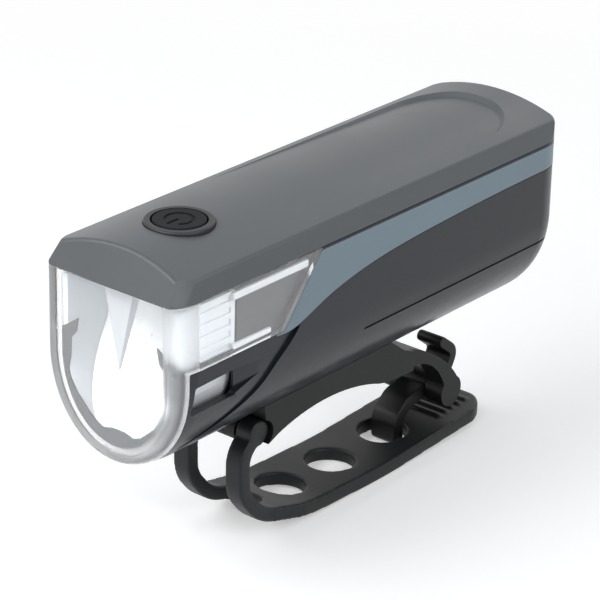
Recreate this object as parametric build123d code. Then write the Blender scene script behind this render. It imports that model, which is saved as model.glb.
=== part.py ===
from build123d import *
import math
import os

# Bike headlight with a rubber bar strap, in millimetres.
# It is drawn with Y = 0 at the front edge, Z = 0 at the seam under the top cover and the lens
# facing -Y. At the end everything is moved, so that the row's origin is at the bar seat.

# Case, as a D in front view
half_width = 17.0
body_length = 119.0
wall_drop = 16.4
bowl_depth = 20.2
wall = 1.8
front_inset = 2.5
front_round = 6.0
rear_inset = 3.5
rear_round = 6.0
seam_gap = 0.15
piece_gap = 0.12
overrun = 30.0
short_overrun = 1.0
thread_gap = 0.03

# Top cover
band_height = 4.1
band_inset = 1.2
crown_height = 7.1
cover_wall = 1.6
bevel_length = 3.6
edge_fillet = 1.1
panel_front = 42.0
panel_rear_room = 10.5
panel_side_room = 5.2
panel_depth = 0.9
panel_slope_angle = 50.0
panel_round_share = 0.75
rim_height_share = 0.3
panel_rear = body_length - panel_rear_room
panel_half_width = half_width - panel_side_room
corner_facet_direction_shares = (0.92, -0.38, 0.5)
corner_facet_gap = 0.1

# Lens and its side windows
lens_wall = 1.8
lens_rim = 3.5
window_drop = 13.5
window_top_length = 40.6
window_low_length = 29.8
gasket_wall = 0.7
gasket_case_overlap = 1.3
gasket_lens_overlap = 0.25

# Side trim
trim_thickness = 1.0
trim_top_drop = 0.45
trim_sliver = 0.25
trim_rear_gap = 2.2
trim_tip = 27.4
trim_gap = 0.1
trim_low_shares = (
    (0.0, 0.0),
    (0.06, -0.005),
    (0.139, 0.17),
    (0.236, 0.35),
    (0.35, 0.47),
    (0.56, 0.565),
    (0.78, 0.615),
    (1.0, 0.625),
)

# Flattened cheek with the vent window under the lens
cheek_depth = 0.8
cheek_rear_top = 34.5
cheek_rear_low = 8.0
cheek_low_drop = 31.0
cheek_curve_shares = ((0.0, 0.0), (0.14, 0.2), (0.26, 0.35), (0.37, 0.53), (0.5, 0.68), (0.75, 0.86), (1.0, 1.0))
vent_front = 5.0
vent_rear = 16.6
vent_top_drop = 16.7
vent_low_drop = 22.5
vent_slant = 1.4
vent_corner = 0.7
scoop_rear = 26.0
scoop_fade = 28.0
scoop_depth = 1.4
scoop_corner = 0.8
scoop_rise_share = 0.45

# Crease along the case
crease_drop = 21.6
crease_width = 0.5
crease_depth = 0.35
crease_front = 55.0

# Light chamber, reflector and LED
chamber_wall = 1.1
chamber_gap = 1.35
chamber_length = 18.0
chamber_top_drop = 1.9
chamber_rib_pitch = 2.4
chamber_rib_depth = 0.45
reflector_apex = 19.4
reflector_focus = 11.0
reflector_axis_drop = 4.9
reflector_wall = 1.1
led_y = 10.3
roof_drop = 0.5
roof_thickness = 1.0
hood_half_width = 3.6
hood_drop = 17.5
hood_thickness = 2.4
spreader_thickness = 1.0
arm_width = 2.6
led_board_size = (12.0, 7.0, 0.8)
emitter_size = (3.4, 3.4, 0.9)

# Heat sink and inner frame
sink_front = 24.5
sink_rear = 38.0
sink_side_room = 5.2
sink_top_drop = 6.2
sink_low_drop = 21.0
fin_pitch = 3.0
fin_width = 1.4
fin_depth = 5.0
frame_front = 18.6
frame_rear = 41.0
frame_wall = 1.1
sink_half_width = half_width - sink_side_room

# Circuit board, switch and charging socket
board_side_gap = 0.4
board_front = 14.0
board_case_room = 4.1
board_wide_rear_room = 6.6
board_tail_half = 5.6
board_rear_room = 3.4
board_screw_room = 13.0
board_boss_radius = 2.0
board_screw_grip = 2.2
board_top_drop = 3.5
board_thickness = 1.2
switch_size = 6.0
switch_height = 3.2
plunger_radius = 1.7
plunger_height = 0.9
socket_width = 9.0
socket_height = 3.2
socket_length = 7.4
socket_wall = 0.4
port_clearance = 0.25
board_half_width = sink_half_width - arm_width - board_side_gap
board_wide_half = half_width - board_case_room
board_wide_rear = body_length - board_wide_rear_room
board_rear = body_length - board_rear_room
board_rear_screw_y = body_length - board_screw_room

# Power button
button_y = 19.2
ring_radius = 6.75
ring_width = 1.25
ring_rise = 0.45
ring_round_share = 0.9
ring_flange = 1.3
ring_flange_thickness = 1.0
cap_radius = 5.15
cap_rise = 0.55
cap_edge = 0.35
cap_roof = 1.5
cap_skirt = 1.1
cap_flange = 0.9
cap_flange_height = 0.8
cap_flange_gap = 0.3
stem_radius = 1.2
button_gap = 0.12
button_travel = 0.6
stem_slack = 0.1

# Battery
cell_radius = 9.2
cell_front = 44.2
cell_rear_room = 9.6
cell_tip_radius = 3.2
cell_tip_height = 0.8
cell_edge = 0.6
tray_wall = 1.1
tray_gap = 0.2
tray_end = 1.4
tray_rib_width = 2.4
tab_thickness = 0.2
tab_width = 6.0
tray_rib_height = 3.0
cell_length = body_length - cell_front - cell_rear_room
cell_drop = wall_drop + bowl_depth - wall - tray_rib_height - tray_wall - tray_gap - cell_radius

# Cover seal, cover screws through the rear wall, and board screws
seal_inset = 0.3
seal_width = 0.9
seal_height = 1.2
seal_front = 43.0
rear_screw_room = 7.8
rear_screw_drop = 6.0
rear_seat_radius = 2.4
cover_tab_half = 1.8
cover_tab_gap = 0.45
cover_tab_depth = 3.0
screw_shank_radius = 0.95
screw_head_radius = 1.75
screw_head_height = 1.3
screw_length = 4.2
screw_well_radius = 1.95
screw_well_depth = 1.5
screw_clearance = 0.12
ledge_half = 1.9
ledge_height = 2.6
rear_screw_x = half_width - rear_screw_room

# Charging port flap
flap_half_width = 6.4
flap_height = 8.6
flap_thickness = 1.2
flap_top_drop = 2.1
flap_gap = 0.25
flap_barrel = 0.6
lip_half_width = 4.2
lip_height = 2.5
lip_length = 0.45
pull_tab_height = 0.8

# Bar saddle
saddle_side_room = 7.4
block_step = 1.6
saddle_front = 34.6
saddle_front_fall = 1.3
seat_apex_y = 52.5
seat_web = 1.6
seat_radius = 50.0
seat_front_y = 37.8
seat_rear_y = 68.0
saddle_contact_gap = 0.05
saddle_top_rise = 5.2
saddle_top_overhang = 2.5
saddle_shoulder_shares = ((0.26, 0.23), (0.55, 0.37))
block_outer_shares = ((0.82, 0.565), (1.01, 0.77))
block_inner_shares = ((0.85, 0.78), (0.66, 0.57), (0.385, 0.5))
block_inner_offset = 1.4
block_front = 80.6
lug_depth = 1.0
lever_slot_front = 88.0
lever_slot_below_seat = 8.3
saddle_half_width = half_width - saddle_side_room
block_half_width = saddle_half_width - block_step
seat_drop = wall_drop + bowl_depth + seat_web
lever_slot_drop = seat_drop + lever_slot_below_seat

# Strap and its pin
strap_thickness = 3.0
strap_side_room = 7.2
strap_fork_taper = 1.0
strap_taper_front = 36.0
strap_taper_rear = 46.0
strap_taper_round = 9.0
strap_low_below_seat = 23.8
strap_line_shares = (
    (-0.055, 0.17),
    (-0.054, 0.54),
    (0.02, 0.825),
    (0.201, 0.965),
    (0.524, 1.0),
    (1.0, 0.921),
)
strap_bend_shares = (0.21, 0.35, 0.52, 2.1, 4.3)
strap_tip_share = 0.8
slot_half_width = 4.7
slot_end = 40.5
slot_corner = 3.0
hole_radius = 5.2
hole_ys = (50.0, 65.9, 83.3)
pin_y = 33.0
pin_below_seat = 0.9
pin_radius = 1.25
pin_running_gap = 0.06
eye_radius = 2.7
eye_gap = 0.3
eye_skin = 1.1
strap_end = 107.5
strap_rib_count = 5
strap_rib_pitch = 2.3
strap_rib_height = 0.6
strap_rib_width = 1.1
strap_rib_half_length = 6.0
strap_half_width = half_width - strap_side_room
strap_fork_half = strap_half_width - strap_fork_taper
strap_low_drop = seat_drop + strap_low_below_seat
pin_drop = seat_drop + pin_below_seat

# Release lever and its pin
pivot_y = 96.3
pivot_below_seat = 14.8
knuckle_radius = 3.4
lever_hub_radius = 3.1
lever_half_width = 3.2
lever_slot_gap = 0.3
lever_pin_radius = 1.0
lever_pin_skin = 1.0
horn_thickness = 2.4
horn_reach = 7.4
horn_rise = 8.6
horn_line_shares = ((0.74, 0.2), (1.0, 0.62), (0.42, 1.0))
horn_bend_shares = (0.38, 0.29)
tongue_thickness = 3.0
tongue_reach = 11.5
tongue_drop = 8.6
tongue_line_shares = ((0.687, 0.163), (1.0, 0.512), (0.983, 1.0))
tongue_bend_shares = (0.26, 0.21)
pivot_drop = seat_drop + pivot_below_seat

# Mount screws
mount_screw_ys = (40.4, 72.4)
mount_head_radius = 2.2
mount_head_height = 1.2
mount_shank_radius = 1.2
mount_boss_radius = 2.6
mount_boss_height = 2.2


def side_face(*edges):
    """Closed outline in the side view: local x is Y and local y is Z."""
    pieces = [piece for edge in edges for piece in edge.edges()]
    return Plane.YZ * make_face(Wire(pieces))


def side_slab(face, x_from, x_to):
    """Side-view face extruded from one X to another."""
    return Pos(x_from, 0, 0) * extrude(face, x_to - x_from, dir=(1, 0, 0))


def side_polygon(points, x_from, x_to):
    return side_slab(Plane.YZ * make_face(Polyline(*points, close=True)), x_from, x_to)


def box(x_range, y_range, z_range):
    """Box between two X, two Y and two Z places."""
    size = [high - low for low, high in (x_range, y_range, z_range)]
    middle = [(high + low) / 2 for low, high in (x_range, y_range, z_range)]
    return Pos(*middle) * Box(*size)


def rod(radius, start, end):
    """Round bar from one point to another."""
    axis = Vector(*end) - Vector(*start)
    plane = Plane(origin=start, z_dir=axis)
    return extrude(plane * Circle(radius), axis.length)


def both_sides(shape):
    """A shape and its mirror image on the other side of the light."""
    return shape, mirror(shape, Plane.YZ)


def d_face(inset, y):
    """The case's D outline, drawn in by an inset, at one place along the case."""
    half = half_width - inset
    outline = [
        Line((half, 0), (-half, 0)),
        Line((-half, 0), (-half, -wall_drop)),
        EllipticalCenterArc((0, -wall_drop), half, bowl_depth - inset, 180, arc_size=180),
        Line((half, -wall_drop), (half, 0)),
    ]
    return Plane.XZ.offset(-y) * make_face(Wire(outline))


def round_stations(count_steps=3):
    """Shares of inset and length along a quarter-ellipse rounding."""
    angles = [math.pi / 2 * step / count_steps for step in range(count_steps + 1)]
    return [(1 - math.sin(angle), 1 - math.cos(angle)) for angle in angles]


def d_form(inset, front, rear):
    """The solid form of the case with rounded front and rear ends, from the seam down."""
    front_faces = [
        d_face(inset + inset_share * front_inset, front + length_share * (front_round - front))
        for inset_share, length_share in round_stations()
    ]
    rear_limit = body_length - rear_round
    rear_faces = [
        d_face(inset + inset_share * rear_inset, rear - length_share * (rear - rear_limit))
        for inset_share, length_share in round_stations()
    ]
    middle = extrude(d_face(inset, front_round), rear_limit - front_round, dir=(0, 1, 0))
    return loft(front_faces) + middle + loft(rear_faces)


def plan_face(inset, front, rear, z):
    """Plan outline of the case at the seam, with the same rounded ends."""
    half = half_width - inset
    nose = half - front_inset
    tail = half - rear_inset
    rear_limit = body_length - rear_round
    outline = [
        Line((-nose, front), (nose, front)),
        EllipticalCenterArc((nose, front_round), front_inset, front_round - front, 270, arc_size=90),
        Line((half, front_round), (half, rear_limit)),
        EllipticalCenterArc((tail, rear_limit), rear_inset, rear - rear_limit, 0, arc_size=90),
        Line((tail, rear), (-tail, rear)),
        EllipticalCenterArc((-tail, rear_limit), rear_inset, rear - rear_limit, 90, arc_size=90),
        Line((-half, rear_limit), (-half, front_round)),
        EllipticalCenterArc((-nose, front_round), front_inset, front_round - front, 180, arc_size=90),
    ]
    return Pos(0, 0, z) * make_face(Wire(outline))


def band_lean(z):
    """How far the side band has leaned in at one height."""
    return band_inset * z / band_height


def crown_face(inset, base, y):
    """Front view of the top cover: leaning side bands under a crowned top."""
    shoulder = band_height - inset
    low = half_width - inset - band_lean(base)
    high = half_width - inset - band_lean(shoulder)
    outline = [
        Line((-low, base), (low, base)),
        Line((low, base), (high, shoulder)),
        ThreePointArc((high, shoulder), (0, crown_height - inset), (-high, shoulder)),
        Line((-high, shoulder), (-low, base)),
    ]
    return Plane.XZ.offset(-y) * make_face(Wire(outline))


def cover_form(inset, base, front, rear):
    """Solid form of the top cover with its rounded plan and its bevelled front."""
    bar = extrude(crown_face(inset, base, front), rear - front, dir=(0, 1, 0))
    plan = extrude(plan_face(inset, front, rear, base), crown_height - base)
    form = bar & plan
    bevel = side_polygon(
        [
            (front - overrun, base),
            (front, base),
            (front + bevel_length, crown_height - inset),
            (front + bevel_length, overrun),
            (front - overrun, overrun),
        ],
        -overrun,
        overrun,
    )
    return form - bevel


def window_line(z, shift=0.0):
    """Y of the slanted rear edge of the lens at one height."""
    share = -z / window_drop
    return window_top_length + share * (window_low_length - window_top_length) + shift


def lens_region(shift, x_from=-overrun, x_to=overrun):
    """Side view of what the lens covers, with its rear edge moved back by a shift."""
    depth = wall_drop + bowl_depth + overrun
    low = -window_drop - shift
    return side_polygon(
        [
            (-overrun, overrun),
            (window_line(overrun, shift), overrun),
            (window_line(low, shift), low),
            (lens_rim + shift, low),
            (lens_rim + shift, -depth),
            (-overrun, -depth),
        ],
        x_from,
        x_to,
    )


def trim_region(grow):
    """Side view of the trim inlay: a slim wedge that swells towards the lens."""
    tip_drop = window_drop + piece_gap + trim_sliver
    span = body_length - trim_tip
    rise = tip_drop - trim_top_drop
    low_points = [
        (trim_tip - grow + along * span, -tip_drop + up * rise - grow) for along, up in trim_low_shares
    ]
    rear = body_length - trim_rear_gap + grow
    top = -trim_top_drop + grow
    front_top = (trim_tip, top)
    cut = low_points[-1]
    edges = [
        Spline(*low_points),
        Line(cut, (cut[0], top)),
        Line((cut[0], top), front_top),
        Line(front_top, low_points[0]),
    ]
    behind = box((-overrun, half_width + overrun), (rear, rear + overrun), (-overrun, overrun))
    region = side_slab(side_face(*edges), 0, half_width + overrun)
    return region - behind - lens_region(piece_gap - grow)


def make_lens():
    shell = d_form(0, 0, body_length) - d_form(lens_wall, lens_wall, body_length - wall)
    return shell & lens_region(0)


def sloped_form(front_inset, front, rear_inset, rear):
    """The case's D form whose inset changes evenly from one place along the case to another."""
    return loft([d_face(front_inset, front), d_face(rear_inset, rear)])


def cheek_cutter():
    """Cheek round the vent, which sinks in towards the curved crease behind it."""
    top = -window_drop - piece_gap - trim_sliver
    front = lens_rim + piece_gap
    crease_points = [
        (
            cheek_rear_top + share * (cheek_rear_low - cheek_rear_top),
            top + fall * (-cheek_low_drop - top),
        )
        for share, fall in cheek_curve_shares
    ]
    first, last = crease_points[0], crease_points[-1]
    edges = [
        Spline(*crease_points),
        Line(last, (front, last[1])),
        Line((front, last[1]), (front, first[1])),
        Line((front, first[1]), first),
    ]
    skin = sloped_form(0, front, cheek_depth, cheek_rear_top)
    return side_slab(side_face(*edges), 0, half_width + overrun) - skin


def scoop_cutter():
    """Shallow scoop behind the vent window, deepest at the window."""
    outline = Polyline(
        (vent_rear - vent_corner, -vent_top_drop),
        (scoop_rear, -vent_top_drop - vent_corner),
        (scoop_rear, -vent_top_drop - (vent_low_drop - vent_top_drop) * scoop_rise_share),
        (vent_rear - vent_corner, -vent_low_drop),
        close=True,
    )
    face = make_face(outline)
    rear_corners = face.vertices().group_by(Axis.X)[-1]
    face = fillet(rear_corners, scoop_corner)
    skin = sloped_form(scoop_depth, vent_rear - vent_corner, 0, scoop_fade)
    return side_slab(Plane.YZ * face, 0, half_width + overrun) - skin


def vent_cutter():
    """Vent window with rounded corners, through the case wall."""
    outline = Polyline(
        (vent_front, -vent_top_drop),
        (vent_rear, -vent_top_drop),
        (vent_rear + vent_slant / 2, -vent_low_drop),
        (vent_front - vent_slant / 2, -vent_low_drop),
        close=True,
    )
    face = make_face(outline)
    face = fillet(face.vertices(), vent_corner)
    return side_slab(Plane.YZ * face, half_width - wall * 4, half_width + overrun)


def make_lower_case():
    case = d_form(0, 0, body_length) - d_form(wall, wall, body_length - wall)
    case -= lens_region(piece_gap)
    for cutter in both_sides(cheek_cutter()):
        case -= cutter
    for cutter in both_sides(vent_cutter()):
        case -= cutter
    for cutter in both_sides(scoop_cutter()):
        case -= cutter
    depth = trim_thickness + trim_gap
    pocket = trim_region(trim_gap) - d_form(depth, depth, body_length - depth)
    for cutter in both_sides(pocket):
        case -= cutter
    for cutter in both_sides(crease_groove()):
        case -= cutter
    for y in mount_screw_ys:
        floor = -wall_drop - bowl_depth
        boss = rod(mount_boss_radius, (0, y, floor + wall / 2), (0, y, mount_boss_top()))
        hole = rod(mount_shank_radius + thread_gap, (0, y, floor - wall), (0, y, mount_boss_top() + wall))
        case = case + boss - hole
    for ledge in board_ledges():
        case += ledge
    for side in (1, -1):
        case = add_rear_screw_seat(case, side * rear_screw_x)
    return case - port_opening()


def mount_boss_top():
    return -wall_drop - bowl_depth + wall + mount_boss_height


def crease_groove():
    """Fine line along the lower part of the side."""
    line = box(
        (0, half_width + overrun),
        (crease_front, body_length + overrun),
        (-crease_drop - crease_width, -crease_drop),
    )
    return line - d_form(crease_depth, front_round / 2, body_length + overrun)


def board_ledges():
    """Ledges on the side walls that carry the rear of the circuit board."""
    x, y = board_rear_screw()
    top = -board_top_drop - board_thickness
    ledge = box(
        (x - ledge_half, half_width - trim_thickness - trim_gap - piece_gap),
        (y - ledge_half, y + ledge_half),
        (top - ledge_height, top),
    )
    ledge -= rod(screw_shank_radius + thread_gap, (x, y, top - ledge_height), (x, y, top))
    return both_sides(ledge)


def add_rear_screw_seat(case, x):
    """Thickened rear wall with a sunken seat for a cover screw."""
    z = -rear_screw_drop
    case += rod(rear_seat_radius, (x, rear_seat_face(), z), (x, body_length - wall / 2, z))
    case -= rod(screw_shank_radius + screw_clearance, (x, 0, z), (x, body_length, z)) & rear_room()
    return case - rod(screw_well_radius, (x, body_length - screw_well_depth, z), (x, body_length, z))


def rear_seat_face():
    """Y of the thickened rear wall's inner face, against the cover's tab."""
    return tab_rear() + piece_gap


def tab_rear():
    """Y of the rear face of the cover's tabs, which pass inside the cover seal."""
    return body_length - wall - seal_inset - seal_width - cover_tab_gap


def rear_room():
    """Space round the rear wall."""
    return box((-overrun, overrun), (body_length - overrun, body_length), (-overrun * 2, overrun))


def port_z():
    """Middle height of the charging socket, under the circuit board."""
    return -board_top_drop - board_thickness - socket_height / 2


def port_opening():
    """Flap pocket and socket window in the rear wall."""
    rear = body_length
    pocket = box(
        (-flap_half_width - flap_gap, flap_half_width + flap_gap),
        (rear - flap_thickness - flap_gap / 2, rear + overrun),
        (-flap_top_drop - flap_height - flap_gap, -flap_top_drop + flap_gap),
    )
    half = socket_width / 2 + port_clearance
    tall = socket_height / 2 + port_clearance
    window = box((-half, half), (rear - wall - short_overrun, rear), (port_z() - tall, port_z() + tall))
    return pocket + window


def is_rim(edge, low_edge):
    """Whether an edge of the cover is one of the long ones round its crowned top."""
    short = edge.geom_type == GeomType.LINE and edge.length < half_width
    return edge.center().Z > low_edge and not short and edge.geom_type != GeomType.BSPLINE


def make_top_cover():
    outer = cover_form(0, seam_gap, 0, body_length)
    low_edge = band_height * rim_height_share
    outer = fillet(outer.edges().filter_by(lambda edge: is_rim(edge, low_edge)), edge_fillet)
    for cutter in both_sides(corner_facet()):
        outer -= cutter
    inner = cover_form(cover_wall, seam_gap, cover_wall, body_length - cover_wall)
    cover = outer - inner
    cover -= panel_cutter()
    cover -= rod(ring_radius + button_gap, (0, button_y, 0), (0, button_y, overrun))
    for side in (1, -1):
        cover += cover_tab(side * rear_screw_x)
    return cover


def corner_facet():
    """Facet that cuts off the cover's front corner above the seam."""
    across, along, up = corner_facet_direction_shares
    level = math.hypot(across, along)
    reach = math.hypot(across * front_inset, along * front_round)
    out = (across * (half_width - front_inset) + along * front_round + reach) / level + corner_facet_gap
    origin = (across / level * out, along / level * out, 0)
    plane = Plane(origin=origin, z_dir=(across, along, up))
    return plane * Pos(0, 0, overrun / 2) * Box(overrun, overrun, overrun)


def cover_tab(x):
    """Tab behind the case's rear wall that takes a cover screw."""
    rear = tab_rear()
    low = -rear_screw_drop - cover_tab_half
    z = -rear_screw_drop
    tab = box((x - cover_tab_half, x + cover_tab_half), (rear - cover_tab_depth, rear), (low, crown_height))
    above = cover_form(cover_wall / 2, seam_gap, cover_wall, body_length - cover_wall)
    below = box((-overrun, overrun), (0, body_length), (low, seam_gap))
    hole = rod(screw_shank_radius + thread_gap, (x, rear - cover_tab_depth, z), (x, rear, z))
    return (tab & (above + below)) - hole


def panel_cutter():
    """Sunken panel: fades out at its front and ends in a round slope at its rear."""
    round_radius = panel_half_width * panel_round_share
    base = Pos(0, (panel_front + panel_rear) / 2, 0) * Rectangle(2 * panel_half_width, panel_rear - panel_front)
    rear_corners = base.vertices().filter_by(lambda v: v.Y > (panel_front + panel_rear) / 2)
    outline = fillet(rear_corners, round_radius)
    walls = extrude(Pos(0, 0, crown_height - panel_depth * 3) * outline, panel_depth * 6, taper=-panel_slope_angle)
    above = box((-overrun, overrun), (0, body_length * 2), (0, overrun))
    crown = extrude(crown_face(0, -overrun, 0), body_length * 2, dir=(0, 1, 0))
    sky = above - crown
    tilt = math.degrees(math.atan(panel_depth / (panel_rear - panel_front)))
    pivot = Pos(0, panel_front, crown_height)
    sky = pivot * Rot(-tilt, 0, 0) * pivot.inverse() * sky
    return walls & sky


def make_trim():
    skin = d_form(0, 0, body_length) - d_form(trim_thickness, trim_thickness, body_length - trim_thickness)
    return skin & trim_region(0)


def make_gasket():
    """Black strip behind the joint of lens and case."""
    outer = d_form(wall + piece_gap, wall, body_length - wall)
    inner = d_form(wall + piece_gap + gasket_wall, wall, body_length - wall)
    band = lens_region(gasket_case_overlap) - lens_region(-gasket_lens_overlap)
    top_cut = box((-overrun, overrun), (0, body_length), (-seal_height, overrun))
    return (outer - inner) & band - top_cut


def make_cover_seal():
    """Ring in the joint of cover and case, behind the windows."""
    outer = plan_face(wall + seal_inset, wall + seal_inset, body_length - wall - seal_inset, 0)
    inset = wall + seal_inset + seal_width
    inner = plan_face(inset, inset, body_length - inset, 0)
    ring = Pos(0, 0, -seal_height / 2) * extrude(outer - inner, seal_height)
    return ring - box((-overrun, overrun), (-overrun, seal_front), (-overrun, overrun))


def make_light_chamber():
    """Ribbed D-shaped tube round the reflector."""
    outer_inset = lens_wall + chamber_gap
    outer = extrude(d_face(outer_inset, lens_rim), chamber_length - lens_rim, dir=(0, 1, 0))
    inner = extrude(d_face(outer_inset + chamber_wall, 0), body_length, dir=(0, 1, 0))
    lid = box((-overrun, overrun), (-overrun, body_length), (-chamber_top_drop, overrun))
    tube = outer - inner - lid
    half = half_width - outer_inset
    rib_count = int((wall_drop + bowl_depth / 2 - chamber_top_drop) / chamber_rib_pitch)
    for index in range(rib_count):
        z = -chamber_top_drop - chamber_rib_pitch * (index + 1 / 2)
        groove = box(
            (half - chamber_rib_depth, half + overrun),
            (lens_rim + chamber_wall, chamber_length - chamber_wall),
            (z - chamber_rib_pitch / 4, z + chamber_rib_pitch / 4),
        )
        for cutter in both_sides(groove):
            tube -= cutter
    return tube


def bowl_outline(offset):
    """Half profile of the reflector's bowl: a parabola that opens to the front."""
    reach = wall_drop + bowl_depth
    radii = [reach * step / 6 for step in range(7)]
    return [(radius, reflector_apex + offset - radius**2 / (4 * reflector_focus)) for radius in radii]


def bowl_solid(offset):
    """Solid that fills the reflector's bowl up to its front."""
    points = bowl_outline(offset)
    far = points[-1]
    front = far[1] - reflector_apex
    edges = [
        Spline(*points),
        Line(far, (far[0], front)),
        Line((far[0], front), (0, front)),
        Line((0, front), points[0]),
    ]
    face = make_face(Wire(edges))
    return Pos(0, 0, -reflector_axis_drop) * revolve(face, Axis.Y)


def make_reflector():
    inset = lens_wall + chamber_gap + chamber_wall + piece_gap
    room = extrude(d_face(inset, lens_rim), chamber_length + reflector_wall, dir=(0, 1, 0))
    lid = box((-overrun, overrun), (-overrun, body_length), (-reflector_axis_drop, overrun))
    return (bowl_solid(reflector_wall) - bowl_solid(0)) & room - lid


def make_led_carrier():
    """Roof over the light chamber, with the wedge-shaped hood in front of the LED."""
    inset = lens_wall + chamber_gap
    top = -roof_drop
    rear = button_y - switch_size / 2 - piece_gap * 2
    roof = extrude(d_face(inset, lens_rim), rear - lens_rim, dir=(0, 1, 0))
    roof &= box((-overrun, overrun), (0, body_length), (top - roof_thickness, top))
    front = lens_rim + piece_gap
    wedge_face = Plane.XZ.offset(-front) * make_face(
        Polyline(
            (-hood_half_width, top - roof_thickness / 2),
            (hood_half_width, top - roof_thickness / 2),
            (0, -hood_drop),
            close=True,
        )
    )
    wedge = extrude(wedge_face, hood_thickness, dir=(0, 1, 0))
    lean = side_polygon(
        [
            (front + hood_thickness, top),
            (front + hood_thickness + overrun, top),
            (front + hood_thickness + overrun, -hood_drop),
            (front + hood_thickness / 4, -hood_drop),
        ],
        -hood_half_width,
        hood_half_width,
    )
    return roof + (wedge - lean)


def spreader_top():
    """Top of the heat spreader under the roof."""
    return -roof_drop - roof_thickness - piece_gap


def make_heat_sink():
    """Spreader over the LED board, two arms past the switch and a finned block behind."""
    top = spreader_top()
    low = top - spreader_thickness
    front = led_y - led_board_size[1] / 2
    arm_outer = sink_half_width
    plate_rear = led_y + led_board_size[1] / 2
    body = box((-arm_outer, arm_outer), (front, plate_rear), (low, top))
    for side in (1, -1):
        edges = sorted((side * (arm_outer - arm_width), side * arm_outer))
        body += box(edges, (front, sink_rear), (low, top))
        body += box(edges, (sink_front, sink_rear), (-sink_top_drop - spreader_thickness, top))
    body += box((-sink_half_width, sink_half_width), (sink_front, sink_rear), (-sink_low_drop, -sink_top_drop))
    fin_count = int((2 * sink_half_width - fin_width) / fin_pitch)
    for index in range(fin_count):
        x = -sink_half_width + fin_width + index * fin_pitch
        body -= box((x, x + fin_pitch - fin_width), (sink_rear - fin_depth, sink_rear), (-overrun, -sink_top_drop))
    board_low = -board_top_drop - board_thickness
    for x, y in board_screw_places()[:2]:
        body += rod(board_boss_radius, (x, y, -sink_top_drop), (x, y, board_low))
        body -= rod(screw_shank_radius + thread_gap, (x, y, board_low - ledge_height), (x, y, board_low))
    return body


def make_inner_frame():
    """Grey frame behind the light chamber, seen through the side windows."""
    outer_inset = lens_wall + chamber_gap
    outer = extrude(d_face(outer_inset, frame_front), frame_rear - frame_front, dir=(0, 1, 0))
    inner = extrude(d_face(outer_inset + frame_wall, frame_front), frame_rear - frame_front, dir=(0, 1, 0))
    lid = box((-overrun, overrun), (-overrun, body_length), (-chamber_top_drop, overrun))
    reach = mount_boss_radius + piece_gap
    notch_front = mount_screw_ys[0] - reach
    notch = box((-reach, reach), (notch_front, body_length), (-overrun * 2, mount_boss_top() + piece_gap))
    return outer - inner - lid - notch


def make_led_board():
    top = spreader_top() - spreader_thickness
    width, length, thick = led_board_size
    return box((-width / 2, width / 2), (led_y - length / 2, led_y + length / 2), (top - thick, top))


def make_led_emitter():
    top = spreader_top() - spreader_thickness - led_board_size[2]
    width, length, thick = emitter_size
    base_thick = thick / 3
    base = box((-width / 2, width / 2), (led_y - length / 2, led_y + length / 2), (top - base_thick, top))
    dome = rod(width / 3, (0, led_y, top - thick), (0, led_y, top - base_thick))
    return base + fillet(dome.edges().group_by(Axis.Z)[0], thick / 3)


def make_circuit_board():
    """Board that is narrow between the heat sink's arms and wide over the battery."""
    low = -board_top_drop - board_thickness
    wide_front = frame_rear + piece_gap
    stretches = [
        (board_half_width, board_front, wide_front),
        (board_wide_half, wide_front, board_wide_rear),
        (board_tail_half, board_wide_rear, board_rear),
    ]
    board = [box((-half, half), (front, rear), (low, -board_top_drop)) for half, front, rear in stretches]
    holes = [
        rod(screw_shank_radius + screw_clearance, (x, y, low), (x, y, -board_top_drop))
        for x, y in board_screw_places()
    ]
    return board[0] + board[1:] - holes


def board_rear_screw():
    """X and Y of the board's rear screw on the +X side."""
    return board_wide_half - screw_head_radius - piece_gap, board_rear_screw_y


def board_screw_places():
    """Screws of the circuit board, on the heat sink and on the case's ledges."""
    front_x = board_half_width - screw_head_radius - piece_gap
    front_y = (sink_front + sink_rear - fin_depth) / 2
    rear_x, rear_y = board_rear_screw()
    return [(side * x, y) for x, y in ((front_x, front_y), (rear_x, rear_y)) for side in (1, -1)]


def make_board_screws():
    low = -board_top_drop - board_thickness - board_screw_grip
    screws = []
    for x, y in board_screw_places():
        head = rod(screw_head_radius, (x, y, -board_top_drop), (x, y, -board_top_drop + screw_head_height))
        screws.append(head + rod(screw_shank_radius, (x, y, low), (x, y, -board_top_drop)))
    return Compound(children=screws)


def make_tactile_switch():
    base = -board_top_drop
    half = switch_size / 2
    case = box((-half, half), (button_y - half, button_y + half), (base, base + switch_height))
    top = base + switch_height
    return case + rod(plunger_radius, (0, button_y, top), (0, button_y, top + plunger_height))


def make_usb_socket():
    half = socket_width / 2
    rear = body_length - wall
    top = -board_top_drop - board_thickness
    shell = box((-half, half), (rear - socket_length, rear), (top - socket_height, top))
    shell = fillet(shell.edges().filter_by(Axis.Y), socket_height / 4)
    hollow = box(
        (-half + socket_wall, half - socket_wall),
        (rear - socket_length + socket_wall, rear + overrun),
        (top - socket_height + socket_wall, top - socket_wall),
    )
    tongue = box(
        (-half / 2, half / 2),
        (rear - socket_length, rear - socket_wall),
        (port_z() - socket_wall / 2, port_z() + socket_wall / 2),
    )
    return shell - hollow + tongue


def ring_low():
    """Underside of the ring's flange, against the inside of the cover."""
    return crown_height - cover_wall - crown_fall(cover_wall, ring_radius + ring_flange) - ring_flange_thickness


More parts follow.
